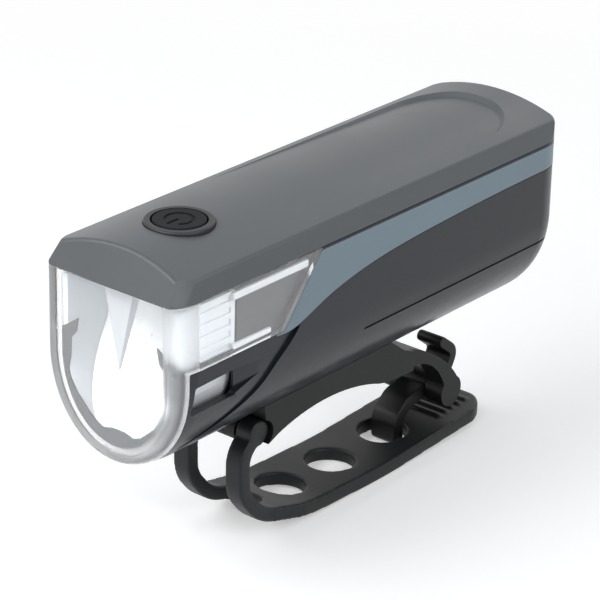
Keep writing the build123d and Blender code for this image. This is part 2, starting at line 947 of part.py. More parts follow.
def make_button_ring():
    """Rubber ring in the cover, with a flange under the cover's wall."""
    low = ring_low()
    ring = rod(ring_radius, (0, button_y, low), (0, button_y, crown_height + ring_rise))
    ring = fillet(ring.edges().group_by(Axis.Z)[-1], ring_rise * ring_round_share)
    flange_top = low + ring_flange_thickness - piece_gap / 2
    ring += rod(ring_radius + ring_flange, (0, button_y, low), (0, button_y, flange_top))
    return ring - rod(ring_radius - ring_width, (0, button_y, 0), (0, button_y, overrun))


def crown_fall(inset, x):
    """How far the crowned top, drawn in by an inset, has fallen at one distance from its middle."""
    half = half_width - inset - band_lean(band_height - inset)
    sagitta = crown_height - band_height
    radius = (half**2 + sagitta**2) / (2 * sagitta)
    return radius - math.sqrt(radius**2 - x**2)


def make_power_button():
    """Round cap with a skirt, a flange that keeps it under the ring, and a stem to the switch."""
    top = crown_height + cap_rise
    flange_top = ring_low() - cap_flange_gap
    low = flange_top - cap_flange_height
    cap = rod(cap_radius, (0, button_y, low), (0, button_y, top))
    cap = fillet(cap.edges().group_by(Axis.Z)[-1], cap_edge)
    cap += rod(cap_radius + cap_flange, (0, button_y, low), (0, button_y, flange_top))
    cap -= rod(cap_radius - cap_skirt, (0, button_y, low), (0, button_y, top - cap_roof))
    switch_top = -board_top_drop + switch_height + plunger_height
    stem_end = switch_top + button_travel + stem_slack
    return cap + rod(stem_radius, (0, button_y, stem_end), (0, button_y, top - cap_roof / 2))


def make_battery_cell():
    y_end = cell_front + cell_length
    can = rod(cell_radius, (0, cell_front, -cell_drop), (0, y_end - cell_tip_height, -cell_drop))
    can = fillet(can.edges(), cell_edge)
    return can + rod(cell_tip_radius, (0, y_end - cell_tip_height * 2, -cell_drop), (0, y_end, -cell_drop))


def make_battery_tray():
    """Half-round cradle with end walls and two ribs down to the case."""
    inner_radius = cell_radius + tray_gap
    outer_radius = inner_radius + tray_wall
    front = cell_front - tab_thickness - tray_gap
    rear = cell_front + cell_length + tab_thickness + tray_gap
    tray = rod(outer_radius, (0, front - tray_end, -cell_drop), (0, rear + tray_end, -cell_drop))
    ribs = extrude(d_face(wall + piece_gap, 0), tray_rib_width, dir=(0, 1, 0))
    reach = outer_radius - piece_gap
    ribs &= box((-reach, reach), (-overrun, overrun), (-overrun * 2, -cell_drop))
    for y in (front, rear - tray_rib_width):
        tray += Pos(0, y, 0) * ribs
    tray -= box((-overrun, overrun), (0, body_length), (-cell_drop, overrun))
    return tray - rod(inner_radius, (0, front, -cell_drop), (0, rear, -cell_drop))


def make_battery_tabs():
    """Nickel strips on the cell's ends, up to the circuit board."""
    tabs = []
    half = tab_width / 2
    low = -cell_drop - cell_tip_radius
    high = -board_top_drop - board_thickness
    for y in (cell_front - tab_thickness, cell_front + cell_length):
        tabs.append(box((-half, half), (y, y + tab_thickness), (low, high)))
    return Compound(children=tabs)


def make_case_screws():
    """Screws through the rear wall into the top cover's tabs."""
    seat = body_length - screw_well_depth
    screws = []
    for side in (1, -1):
        x, z = side * rear_screw_x, -rear_screw_drop
        head = rod(screw_head_radius, (x, seat, z), (x, seat + screw_head_height, z))
        screws.append(head + rod(screw_shank_radius, (x, seat - screw_length, z), (x, seat, z)))
    return Compound(children=screws)


def flap_axis():
    """Y and Z of the flap's hinge line at its lower edge."""
    return body_length - flap_barrel, -flap_top_drop - flap_height + flap_barrel


def make_usb_flap():
    """Rubber flap with a rounded lower edge and a lip that plugs the port."""
    axis_y, axis_z = flap_axis()
    rear = body_length
    plate = box(
        (-flap_half_width, flap_half_width), (rear - flap_thickness, rear), (axis_z, -flap_top_drop)
    )
    barrel = rod(flap_barrel, (-flap_half_width, axis_y, axis_z), (flap_half_width, axis_y, axis_z))
    lip = box(
        (-lip_half_width, lip_half_width),
        (rear - flap_thickness - lip_length, rear - flap_thickness),
        (port_z() - lip_height / 2, port_z() + lip_height / 2),
    )
    tab_low = -flap_top_drop - pull_tab_height * 2
    tab = box(
        (-flap_half_width / 2, flap_half_width / 2),
        (rear - flap_thickness / 2, rear + pull_tab_height),
        (tab_low, tab_low + pull_tab_height),
    )
    return plate + barrel + lip + tab


def saddle_outline():
    """Side view of the saddle, from its front end over the case side to the rear block."""
    start = (seat_rear_y + saddle_top_overhang, -wall_drop - bowl_depth + saddle_top_rise)

    def between(shares):
        """Points between the saddle's upper rear corner and the lever's pivot."""
        return [
            (start[0] + along * (pivot_y - start[0]), start[1] + down * (-pivot_drop - start[1]))
            for along, down in shares
        ]

    shoulder = between(saddle_shoulder_shares)
    outer_end = (pivot_y + knuckle_radius, -pivot_drop)
    inner_start = (pivot_y - knuckle_radius + block_inner_offset, -pivot_drop)
    seat_front = (seat_front_y, seat_underside(seat_front_y))
    seat_rear = (seat_rear_y, seat_underside(seat_rear_y))
    top_front = (pin_y, start[1])
    low_front = (saddle_front, seat_front[1] - saddle_front_fall)
    return [
        Line(top_front, start),
        Polyline(start, *shoulder),
        Spline(shoulder[-1], *between(block_outer_shares), outer_end),
        Line(outer_end, inner_start),
        Spline(inner_start, *between(block_inner_shares), seat_rear),
        ThreePointArc(seat_rear, (seat_apex_y, -seat_drop), seat_front),
        Line(seat_front, low_front),
        Line(low_front, top_front),
    ]


def make_saddle():
    deep = -overrun * 3
    case_low = -wall_drop - bowl_depth
    pin_at, pivot_at = (pin_y, -pin_drop), (pivot_y, -pivot_drop)
    blank = side_slab(side_face(*saddle_outline()), -saddle_half_width, saddle_half_width)
    beside = box((block_half_width, saddle_half_width + overrun), (block_front, body_length), (deep, 0))
    for cutter in both_sides(beside):
        blank -= cutter
    blank += rod(knuckle_radius, (-block_half_width, *pivot_at), (block_half_width, *pivot_at))
    lug_half = slot_half_width - eye_gap
    blank += rod(eye_radius, (-lug_half, *pin_at), (lug_half, *pin_at))
    lug_heights = (-pin_drop - eye_radius, case_low + lug_depth)
    blank += box((-lug_half, lug_half), (pin_y, saddle_front + lug_depth), lug_heights)
    eye_room = rod(eye_radius + eye_gap, (lug_half, *pin_at), (half_width, *pin_at))
    for cutter in both_sides(eye_room):
        blank -= cutter
    blank -= d_form(-saddle_contact_gap, 0, body_length)
    blank -= rod(pin_radius + thread_gap, (-overrun, *pin_at), (overrun, *pin_at))
    bore_end = block_half_width - lever_pin_skin
    blank -= rod(lever_pin_radius + thread_gap, (-bore_end, *pivot_at), (bore_end, *pivot_at))
    slot_half = lever_half_width + lever_slot_gap
    blank -= box((-slot_half, slot_half), (lever_slot_front, body_length), (deep, -lever_slot_drop))
    for y in mount_screw_ys:
        blank -= rod(mount_shank_radius + screw_clearance, (0, y, deep), (0, y, 0))
        head_room = seat_underside(y) + mount_head_height
        blank -= rod(mount_head_radius + screw_clearance, (0, y, deep), (0, y, head_room))
    return blank


def seat_underside(y):
    """Z of the curved bar seat at one place along the saddle."""
    return -seat_drop - seat_radius + math.sqrt(seat_radius**2 - (y - seat_apex_y) ** 2)


def make_mount_screws():
    screws = []
    tip = mount_boss_top() - piece_gap
    for y in mount_screw_ys:
        low = seat_underside(y)
        head = rod(mount_head_radius, (0, y, low), (0, y, low + mount_head_height))
        screws.append(head + rod(mount_shank_radius, (0, y, low), (0, y, tip)))
    return Compound(children=screws)


def strap_path():
    """Middle line of the strap in side view, from its eye to its free end."""
    drop = strap_low_drop - pin_drop
    points = [
        (pin_y + along * (strap_end - pin_y), -pin_drop - down * drop) for along, down in strap_line_shares
    ]
    radii = [share * drop for share in strap_bend_shares]
    return FilletPolyline((pin_y, -pin_drop), *points, radius=radii)


def make_strap():
    path = strap_path()
    outline = path.offset_2d(strap_thickness / 2, side=Side.BOTH, closed=True)
    band = side_slab(Plane.YZ * make_face(outline), -strap_half_width, strap_half_width)
    band += rod(eye_radius, (-strap_half_width, pin_y, -pin_drop), (strap_half_width, pin_y, -pin_drop))
    slot = box((-slot_half_width, slot_half_width), (0, slot_end), (-strap_low_drop - overrun, 0))
    slot = fillet(slot.edges().filter_by(Axis.Z).group_by(Axis.Y)[-1], slot_corner)
    band -= slot
    low = -strap_low_drop - overrun
    for y in hole_ys:
        band -= rod(hole_radius, (0, y, low), (0, y, -pin_drop))
    band &= strap_plan()
    bore_end = strap_fork_half - eye_skin
    bore = rod(pin_radius + pin_running_gap, (-bore_end, pin_y, -pin_drop), (bore_end, pin_y, -pin_drop))
    return band - bore + strap_ribs()


def strap_plan():
    """Plan outline of the strap: a narrower fork, then a taper to the round free end."""
    side = [
        (strap_fork_half, 0),
        (strap_fork_half, strap_taper_front),
        (strap_half_width, strap_taper_rear),
        (strap_half_width, strap_end + strap_thickness / 2),
    ]
    face = make_face(Polyline(*side, *[(-x, y) for x, y in reversed(side)], close=True))
    rows = face.vertices().group_by(Axis.Y)
    face = fillet(rows[1] + rows[2], strap_taper_round)
    face = fillet(face.vertices().group_by(Axis.Y)[-1], strap_half_width * strap_tip_share)
    return Pos(0, 0, -strap_low_drop - overrun) * extrude(face, strap_low_drop + overrun)


def strap_ribs():
    """Grip ribs across the top of the free end."""
    path = strap_path()
    ribs = []
    for index in range(strap_rib_count):
        place = path.length - strap_thickness - index * strap_rib_pitch
        at = path.position_at(place / path.length)
        half = strap_rib_width / 2
        top = at.Y + strap_thickness / 2 + strap_rib_height
        rib = box(
            (-strap_rib_half_length, strap_rib_half_length),
            (at.X - half, at.X + half),
            (at.Y, top),
        )
        ribs.append(rib)
    return ribs


def make_strap_pin():
    end = strap_fork_half - eye_skin - eye_gap
    return rod(pin_radius, (-end, pin_y, -pin_drop), (end, pin_y, -pin_drop))


def lever_arm(reach, rise, line_shares, bend_shares, thickness):
    """Bent arm of the lever from its hub to its tip."""
    points = [(pivot_y + along * reach, -pivot_drop + up * rise) for along, up in line_shares]
    radii = [share * abs(reach) for share in bend_shares]
    path = FilletPolyline((pivot_y, -pivot_drop), *points, radius=radii)
    outline = path.offset_2d(thickness / 2, side=Side.BOTH, closed=True)
    return side_slab(Plane.YZ * make_face(outline), -lever_half_width, lever_half_width)


def make_release_lever():
    """Hook-shaped horn and curved tongue on one hub."""
    hub = (pivot_y, -pivot_drop)
    lever = rod(lever_hub_radius, (-lever_half_width, *hub), (lever_half_width, *hub))
    lever += lever_arm(horn_reach, horn_rise, horn_line_shares, horn_bend_shares, horn_thickness)
    lever += lever_arm(-tongue_reach, -tongue_drop, tongue_line_shares, tongue_bend_shares, tongue_thickness)
    return lever - rod(lever_pin_radius + pin_running_gap, (-overrun, *hub), (overrun, *hub))


def make_lever_pin():
    end = block_half_width - lever_pin_skin - lever_slot_gap
    return rod(lever_pin_radius, (-end, pivot_y, -pivot_drop), (end, pivot_y, -pivot_drop))


def sided(name, shape):
    right, left = both_sides(shape)
    return {name + "_right": right, name + "_left": left}


def make_nodes():
    nodes = {
        "lens": make_lens(),
        "top_cover": make_top_cover(),
        "lower_case": make_lower_case(),
        "lens_gasket": make_gasket(),
        "cover_seal": make_cover_seal(),
        "light_chamber": make_light_chamber(),
        "reflector": make_reflector(),
        "led_carrier": make_led_carrier(),
        "led_board": make_led_board(),
        "led_emitter": make_led_emitter(),
        "heat_sink": make_heat_sink(),
        "inner_frame": make_inner_frame(),
        "circuit_board": make_circuit_board(),
        "board_screws": make_board_screws(),
        "tactile_switch": make_tactile_switch(),
        "usb_socket": make_usb_socket(),
        "usb_flap": make_usb_flap(),
        "button_ring": make_button_ring(),
        "power_button": make_power_button(),
        "battery_cell": make_battery_cell(),
        "battery_tray": make_battery_tray(),
        "battery_tabs": make_battery_tabs(),
        "case_screws": make_case_screws(),
        "saddle": make_saddle(),
        "mount_screws": make_mount_screws(),
        "strap": make_strap(),
        "strap_pin": make_strap_pin(),
        "release_lever": make_release_lever(),
        "lever_pin": make_lever_pin(),
    }
    nodes.update(sided("side_trim", make_trim()))
    return nodes


to_row = Pos(0, -seat_apex_y, seat_drop)
os.makedirs("parts", exist_ok=True)
for node, shape in make_nodes().items():
    export_step(to_row * shape, "parts/" + node + ".step")
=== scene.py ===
"""Finishes, detail pieces, studio and camera for a strap-on bike headlight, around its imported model."""

import math

import bmesh
import bpy
from bpy.props import FloatProperty, FloatVectorProperty, IntProperty, PointerProperty
from mathutils import Matrix, Vector


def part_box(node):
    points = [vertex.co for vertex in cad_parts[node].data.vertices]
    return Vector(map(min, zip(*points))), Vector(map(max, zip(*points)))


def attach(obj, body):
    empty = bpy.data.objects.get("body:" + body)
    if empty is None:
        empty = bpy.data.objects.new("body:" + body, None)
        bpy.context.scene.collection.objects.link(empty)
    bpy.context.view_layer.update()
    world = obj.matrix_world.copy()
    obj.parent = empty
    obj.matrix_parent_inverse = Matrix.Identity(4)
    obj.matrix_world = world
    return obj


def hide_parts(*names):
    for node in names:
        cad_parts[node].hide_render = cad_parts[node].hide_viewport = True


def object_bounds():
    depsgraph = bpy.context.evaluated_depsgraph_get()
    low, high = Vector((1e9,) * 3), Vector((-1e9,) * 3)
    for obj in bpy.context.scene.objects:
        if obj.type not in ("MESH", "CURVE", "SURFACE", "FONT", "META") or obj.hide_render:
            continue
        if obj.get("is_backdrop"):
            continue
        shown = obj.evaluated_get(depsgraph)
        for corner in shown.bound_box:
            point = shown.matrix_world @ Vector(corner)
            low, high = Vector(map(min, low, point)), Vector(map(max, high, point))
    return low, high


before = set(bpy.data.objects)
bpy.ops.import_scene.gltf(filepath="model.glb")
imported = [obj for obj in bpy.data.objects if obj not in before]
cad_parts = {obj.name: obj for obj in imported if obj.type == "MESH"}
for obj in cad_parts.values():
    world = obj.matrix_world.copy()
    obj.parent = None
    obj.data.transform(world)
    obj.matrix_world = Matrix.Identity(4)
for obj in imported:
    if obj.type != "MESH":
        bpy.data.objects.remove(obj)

bl_info = {
    "name": "Bike headlight finish",
    "version": (1, 0, 0),
    "blender": (4, 5, 0),
    "location": "View3D > Sidebar > Headlight",
    "description": "Dresses the packed bike headlight with its finishes, details and studio",
    "category": "Object",
}

# Joining and rounding of the CAD meshes
MERGE_DISTANCE = 0.000001
FLAT_ANGLE = math.radians(0.3)
EDGE_ANGLE = math.radians(38)

# Edge rounding: shares of the rails' thickness, of the bezel's depth, of the symbol's line and, on the
# mount, of the housing's rounding
RAIL_EDGE_SHARE = 1 / 4
BEZEL_EDGE_SHARE = 1 / 6
CAP_EDGE_SHARE = 1 / 8
MOUNT_EDGE_SHARE = 1.4

# A vertex nearer to a screw's axis than this share of the head's radius isn't on its shank
SCREW_AXIS_SHARE = 1 / 4

# Middle stretch of a noise, where most of its values lie
NOISE_LOW = 0.3
NOISE_HIGH = 0.7

# How far a moulded part's roughness drifts to each side
ROUGHNESS_DRIFT = 0.04

# Dust: where its patches lie, from which noise value it shows, and its colour from that of the part
DUST_PATCH_SCALE = 60.0
DUST_START = 0.58
DUST_FULL = 0.75
DUST_TONE_SHARE = 0.8
DUST_LIFT = 0.05

# Frosted rim of the lens: shares of the lens's height, of its outline's reach and of the rim's depth
FROST_SPRING_SHARE = 0.55
FROST_DROP_SHARE = 0.565
FROST_INNER_SHARE = 0.77
FROST_EDGE_SHARE = 0.03
FROST_BACK_SHARE = 0.9
FROST_DEPTH = 0.0062
FROST_ROUGHNESS = 0.48

# Pale rails behind the side windows
RAIL_GAP = 0.0002
RAIL_TOP_DROP = 0.0019
RAIL_FOOT_RISE = 0.0019
RAIL_TOP_SETBACK = 0.0026
RAIL_OVERLAP = 0.0013

# Stepped bezel of the reflector, a dark grey sheet that stands in for the shaded inner wall of the chamber
# (painted shade): shares of the chamber's height, of its half width and of the bezel's depth
BEZEL_STEPS = 24
BEZEL_SPRING_SHARE = 0.5405
BEZEL_TOP_SHARE = 0.2
BEZEL_SEAT_SHARE = 0.95
BEZEL_INNER_SHARES = (
    (0.66, 0.44), (0.70, 0.236), (0.79, 0.13), (0.80, -0.12), (0.84, -0.32), (0.80, -0.44), (0.68, -0.62),
    (0.53, -0.76), (0.38, -0.89), (0.25, -0.94), (0.10, -0.90), (0.0, -0.90),
)

# Colours of the optics and the inner works
WHITE = (1.0, 1.0, 1.0)
LENS_CLEAR = (0.985, 0.99, 0.995)
LENS_LIGHT = (0.93, 0.94, 0.95)
REFLECTOR_SILVER = (0.88, 0.9, 0.92)
HOOD_TONE_SHARE = 0.7
BOARD_GREEN = (0.01, 0.065, 0.035)
TRACK_GREEN = (0.02, 0.12, 0.06)
LED_AMBER = (0.8, 0.6, 0.08)
LED_YELLOW = (0.95, 0.82, 0.25)
ALUMINIUM = (0.72, 0.73, 0.74)
STEEL = (0.42, 0.42, 0.43)
BLACK_PLASTIC = (0.022, 0.022, 0.023)
CELL_BLUE = (0.02, 0.05, 0.16)

# Fine lines on metal: shares of its roughness between which they vary it
LINE_SMOOTH_SHARE = 0.7
LINE_ROUGH_SHARE = 1.3

# Studio
LAMP_TARGET = (0.0, 0.005, 0.02)
LAMPS = {
    "key_lamp": {"position": (-0.30, -0.42, 0.50), "size": (0.5, 0.35), "power": 2.4},
    "side_lamp": {"position": (0.6, -0.05, 0.30), "size": (0.25, 0.5), "power": 1.4},
    "front_lamp": {"position": (0.05, -0.6, 0.42), "size": (0.5, 0.35), "power": 1.8},
    "rear_lamp": {"position": (0.0, 0.55, 0.40), "size": (0.5, 0.25), "power": 0.4},
}
SEEN_RAYS = ("Is Camera Ray", "Is Glossy Ray", "Is Transmission Ray")
SENSOR_WIDTH = 36.0
VIEW_START = 0.01
VIEW_END = 20.0
FLOOR_SIZE = 12.0
FLOOR_GLOW = 0.36
FLOOR_FADE_START = 0.12
FLOOR_FADE_END = 0.4
SURROUND_COLOUR = (0.93, 0.96, 1.0)
SURROUND_STRENGTH = 0.28


class HeadlightFinish(bpy.types.PropertyGroup):
    """Colours and surface sizes of the moulded parts."""

    cover_colour: FloatVectorProperty(
        name="Cover", description="Satin grey of the top cover", subtype="COLOR", size=3,
        default=(0.090, 0.099, 0.106),
    )
    case_colour: FloatVectorProperty(
        name="Case", description="Dark blue-grey of the lower case", subtype="COLOR", size=3,
        default=(0.0115, 0.0145, 0.019),
    )
    trim_colour: FloatVectorProperty(
        name="Trim", description="Blue-grey of the side trim", subtype="COLOR", size=3,
        default=(0.18, 0.24, 0.282),
    )
    rubber_colour: FloatVectorProperty(
        name="Rubber", description="Black of the strap, the button and the seals", subtype="COLOR", size=3,
        default=(0.008, 0.009, 0.010),
    )
    ring_colour: FloatVectorProperty(
        name="Ring", description="Dark grey of the ring round the button", subtype="COLOR", size=3,
        default=(0.015, 0.016, 0.0175),
    )
    mount_colour: FloatVectorProperty(
        name="Mount", description="Matt black of the saddle and the lever", subtype="COLOR", size=3,
        default=(0.007, 0.0075, 0.008),
    )
    chamber_colour: FloatVectorProperty(
        name="Chamber", description="Pale plastic behind the lens", subtype="COLOR", size=3,
        default=(0.78, 0.81, 0.84),
    )
    frame_colour: FloatVectorProperty(
        name="Inner frame", description="Grey of the frame behind the chamber", subtype="COLOR", size=3,
        default=(0.05, 0.055, 0.06),
    )
    # Grey of the bezel: painted shade, standing in for the chamber's shaded inner wall round the reflector
    bezel_shade_colour: FloatVectorProperty(
        name="Bezel", description="Grey of the stepped bezel round the reflector", subtype="COLOR", size=3,
        default=(0.05, 0.055, 0.06),
    )
    bezel_depth: FloatProperty(
        name="Bezel depth", description="Thickness of the reflector's bezel", unit="LENGTH", default=0.0004,
    )
    bezel_reach: FloatProperty(
        name="Bezel reach", description="How far the bezel reaches past the chamber", unit="LENGTH",
        default=0.001,
    )
    rail_height: FloatProperty(
        name="Rail height", description="Height of the pale rails behind the side windows", unit="LENGTH",
        default=0.0015,
    )
    rail_thickness: FloatProperty(
        name="Rail thickness", description="Thickness of those rails", unit="LENGTH", default=0.0008,
    )
    # Width of the trim's rounded edge that takes the black rubber: a painted shade line for the gap round the
    # side trim
    gap_shade_width: FloatProperty(
        name="Inlay gap", description="Width of the dark gap line round the side trim", unit="LENGTH",
        default=0.00018,
    )
    edge_round: FloatProperty(
        name="Edge rounding", description="Rounding of the rigid parts' edges", unit="LENGTH",
        default=0.00025,
    )
    strap_voxel: FloatProperty(
        name="Strap voxel", description="Fineness of the strap's rounded form", unit="LENGTH",
        default=0.00032,
    )
    strap_rounds: IntProperty(
        name="Strap rounding", description="Smoothing rounds over the strap's edges", default=9,
    )
    grain_size: FloatProperty(
        name="Grain", description="Size of the moulded grain", unit="LENGTH", default=0.00035,
    )
    grain_depth: FloatProperty(
        name="Grain depth", description="Depth of the moulded grain", unit="LENGTH", default=0.000012,
    )


class HeadlightSymbol(bpy.types.PropertyGroup):
    """Sizes of the engraved power symbol."""

    radius: FloatProperty(
        name="Radius", description="Middle radius of the symbol's open ring", unit="LENGTH", default=0.0027,
    )
    line: FloatProperty(
        name="Line", description="Width of the symbol's lines", unit="LENGTH", default=0.0006,
    )
    depth: FloatProperty(
        name="Depth", description="Depth of the engraving", unit="LENGTH", default=0.00025,
    )
    opening: FloatProperty(
        name="Opening", description="Angle left open in the ring", subtype="ANGLE",
        default=math.radians(76),
    )


class HeadlightScrews(bpy.types.PropertyGroup):
    """Sizes of the screws' cross recess and edges."""

    recess_width: FloatProperty(
        name="Recess width", description="Width of each arm of the cross recess", unit="LENGTH",
        default=0.0005,
    )
    recess_depth: FloatProperty(
        name="Recess depth", description="Depth of the cross recess", unit="LENGTH", default=0.0006,
    )
    recess_share: FloatProperty(
        name="Recess span", description="Span of the cross as a share of the head's diameter",
        subtype="FACTOR", default=0.62,
    )
    facets: IntProperty(
        name="Facets", description="Sides of a screw's round forms", default=40,
    )
    edge: FloatProperty(
        name="Edge", description="Rounding of a screw's edges", unit="LENGTH", default=0.00005,
    )


class HeadlightStage(bpy.types.PropertyGroup):
    """Camera and floor."""

    camera_place: FloatVectorProperty(
        name="Camera", description="Place of the camera", unit="LENGTH", size=3,
        default=(0.32470, -0.39563, 0.24782),
    )
    azimuth: FloatProperty(
        name="Azimuth", description="Direction of the view round the light", subtype="ANGLE",
        default=math.radians(39.20),
    )
    elevation: FloatProperty(
        name="Elevation", description="How far the view looks down", subtype="ANGLE",
        default=math.radians(24.15),
    )
    roll: FloatProperty(
        name="Roll", description="Roll of the camera", subtype="ANGLE", default=math.radians(1.33),
    )
    focal_length: FloatProperty(
        name="Focal length", description="Focal length on a 36 mm sensor", unit="CAMERA", default=171.0,
    )
    floor_colour: FloatVectorProperty(
        name="Floor", description="Pale floor", subtype="COLOR", size=3, default=(0.86, 0.865, 0.87),
    )


def settings(group):
    """One of the scene's property groups by its short name."""
    return getattr(bpy.context.scene, "headlight_" + group)


def opaque(colour):
    """A colour with full alpha, as a shader's sockets take it."""
    return (*colour[:3], 1.0)


def feed(tree, value, socket):
    """Link another node's output to a socket, or set the socket to a plain value."""
    if isinstance(value, bpy.types.NodeSocket):
        tree.links.new(value, socket)
    else:
        socket.default_value = value


def maths(tree, operation, first, second=0.0):
    """Output of a Math node."""
    node = tree.nodes.new("ShaderNodeMath")
    node.operation = operation
    feed(tree, first, node.inputs[0])
    feed(tree, second, node.inputs[1])
    return node.outputs[0]


def ranged(tree, value, start, end, low=0.0, high=1.0, kind="LINEAR"):
    """Output of a Map Range node that takes the stretch from start to end to the one from low to high."""
    node = tree.nodes.new("ShaderNodeMapRange")
    node.interpolation_type = kind
    names = ("Value", "From Min", "From Max", "To Min", "To Max")
    for name, given in zip(names, (value, start, end, low, high)):
        feed(tree, given, node.inputs[name])
    return node.outputs["Result"]


def toned(tree, noise, low, high):
    """A noise's middle values, spread between two numbers."""
    return ranged(tree, noise, NOISE_LOW, NOISE_HIGH, low, high)


def mixed(tree, kind, factor, first, second):
    """Output of a Mix node between two numbers or two colours."""
    node = tree.nodes.new("ShaderNodeMix")
    node.data_type = kind
    ending = {"FLOAT": "Float", "RGBA": "Color"}[kind]
    inputs = {socket.identifier: socket for socket in node.inputs}
    outputs = {socket.identifier: socket for socket in node.outputs}
    feed(tree, factor, inputs["Factor_Float"])
    feed(tree, first, inputs["A_" + ending])
    feed(tree, second, inputs["B_" + ending])
    return outputs["Result_" + ending]


def mixed_shader(tree, factor, first, second):
    """Output of a Mix Shader node."""
    node = tree.nodes.new("ShaderNodeMixShader")
    for socket, value in zip(node.inputs, (factor, first, second)):
        tree.links.new(value, socket)
    return node.outputs[0]


def object_coordinates(tree):
    """Object coordinates of the surface."""
    return tree.nodes.new("ShaderNodeTexCoord").outputs["Object"]


def noise_on(tree, places, scale, detail):
    """Output of a noise over the given places."""
    node = tree.nodes.new("ShaderNodeTexNoise")
    node.inputs["Detail"].default_value = detail
    feed(tree, scale, node.inputs["Scale"])
    tree.links.new(places, node.inputs["Vector"])
    return node.outputs["Fac"]


def bumped(tree, shader, height, depth):
    """Bump from a height output to the shader's normal."""
    bump = tree.nodes.new("ShaderNodeBump")
    bump.inputs["Strength"].default_value = 1.0
    bump.inputs["Distance"].default_value = depth
    tree.links.new(height, bump.inputs["Height"])
    tree.links.new(bump.outputs["Normal"], shader.inputs["Normal"])


def path_switch(tree, kinds):
    """One for rays of the given kinds, nought for others."""
    paths = tree.nodes.new("ShaderNodeLightPath")
    value = paths.outputs[kinds[0]]
    for kind in kinds[1:]:
        value = maths(tree, "MAXIMUM", value, paths.outputs[kind])
    return value


def surface(name, colour, roughness, metallic=0.0):
    """A new material, its node tree and its Principled shader."""
    material = bpy.data.materials.new(name)
    material.use_nodes = True
    shader = material.node_tree.nodes["Principled BSDF"]
    shader.inputs["Base Color"].default_value = opaque(colour)
    shader.inputs["Roughness"].default_value = roughness
    shader.inputs["Metallic"].default_value = metallic
    return material, material.node_tree, shader


def new_group(name, inputs, outputs):
    """An empty shader group with number sockets, the inputs with their defaults."""
    group = bpy.data.node_groups.new(name, "ShaderNodeTree")
    for socket, value in inputs.items():
        made = group.interface.new_socket(socket, in_out="INPUT", socket_type="NodeSocketFloat")
        made.default_value = value
    for socket in outputs:
        group.interface.new_socket(socket, in_out="OUTPUT", socket_type="NodeSocketFloat")
    given = group.nodes.new("NodeGroupInput").outputs
    result = group.nodes.new("NodeGroupOutput").inputs
    return group, given, result


def place(tree, group_name, **values):
    """A copy of a shader group in a material, with its own values."""
    node = tree.nodes.new("ShaderNodeGroup")
    node.node_tree = bpy.data.node_groups[group_name]
    for socket, value in values.items():
        node.inputs[socket.replace("_", " ")].default_value = value
    return node


def make_grain_group():
    """Fine moulded grain and a slow drift of tone."""
    inputs = {"Size": 0.0004, "Drift Size": 0.02}
    group, given, result = new_group("moulded_grain", inputs, ("Height", "Drift"))
    places = object_coordinates(group)
    for output, size, detail in (("Height", "Size", 2.0), ("Drift", "Drift Size", 3.0)):
        scale = maths(group, "DIVIDE", 1.0, given[size])
        group.links.new(noise_on(group, places, scale, detail), result[output])


def make_dust_group():
    """Sparse fine dust, thicker in soft patches."""
    inputs = {"Speck Size": 0.0006, "Amount": 0.2}
    group, given, result = new_group("handling_dust", inputs, ("Mask",))
    places = object_coordinates(group)
    scale = maths(group, "DIVIDE", 1.0, given["Speck Size"])
    specks = ranged(group, noise_on(group, places, scale, detail=4.0), DUST_START, DUST_FULL)
    patches = noise_on(group, places, DUST_PATCH_SCALE, detail=2.0)
    patchy = maths(group, "MULTIPLY", specks, patches)
    group.links.new(maths(group, "MULTIPLY", patchy, given["Amount"]), result["Mask"])


def make_brushed_group():
    """Fine lines along the light, as on drawn or machined metal."""
    inputs = {"Line Size": 0.0002, "Stretch": 30.0}
    group, given, result = new_group("brushed_lines", inputs, ("Height",))
    size = group.nodes.new("ShaderNodeCombineXYZ")
    for side in ("X", "Z"):
        group.links.new(given["Line Size"], size.inputs[side])
    group.links.new(maths(group, "MULTIPLY", given["Line Size"], given["Stretch"]), size.inputs["Y"])
    stretched = group.nodes.new("ShaderNodeVectorMath")
    stretched.operation = "DIVIDE"
    group.links.new(object_coordinates(group), stretched.inputs[0])
    group.links.new(size.outputs[0], stretched.inputs[1])
    lines = noise_on(group, stretched.outputs["Vector"], scale=1.0, detail=2.0)
    group.links.new(lines, result["Height"])


def make_frost_group():
    """Mask of the frosted rim round the lens's front, by its D outline and its depth."""
    inputs = {
        "Half Width": 0.017, "Drop": 0.02, "Spring": 0.02, "Front": -0.05, "Depth": 0.006, "Inner Share": 0.8,
    }
    group, given, result = new_group("frosted_rim", inputs, ("Mask",))
    parts = group.nodes.new("ShaderNodeSeparateXYZ")
    group.links.new(object_coordinates(group), parts.inputs[0])
    across = maths(group, "DIVIDE", parts.outputs["X"], given["Half Width"])
    below = maths(group, "MINIMUM", maths(group, "SUBTRACT", parts.outputs["Z"], given["Spring"]), 0.0)
    down = maths(group, "DIVIDE", below, given["Drop"])
    squares = [maths(group, "MULTIPLY", share, share) for share in (across, down)]
    reach = maths(group, "SQRT", maths(group, "ADD", *squares))
    full = maths(group, "ADD", given["Inner Share"], FROST_EDGE_SHARE)
    edge = ranged(group, reach, given["Inner Share"], full)
    back = maths(group, "SUBTRACT", parts.outputs["Y"], given["Front"])
    depth = ranged(group, back, given["Depth"], maths(group, "MULTIPLY", given["Depth"], FROST_BACK_SHARE))
    group.links.new(maths(group, "MULTIPLY", edge, depth), result["Mask"])


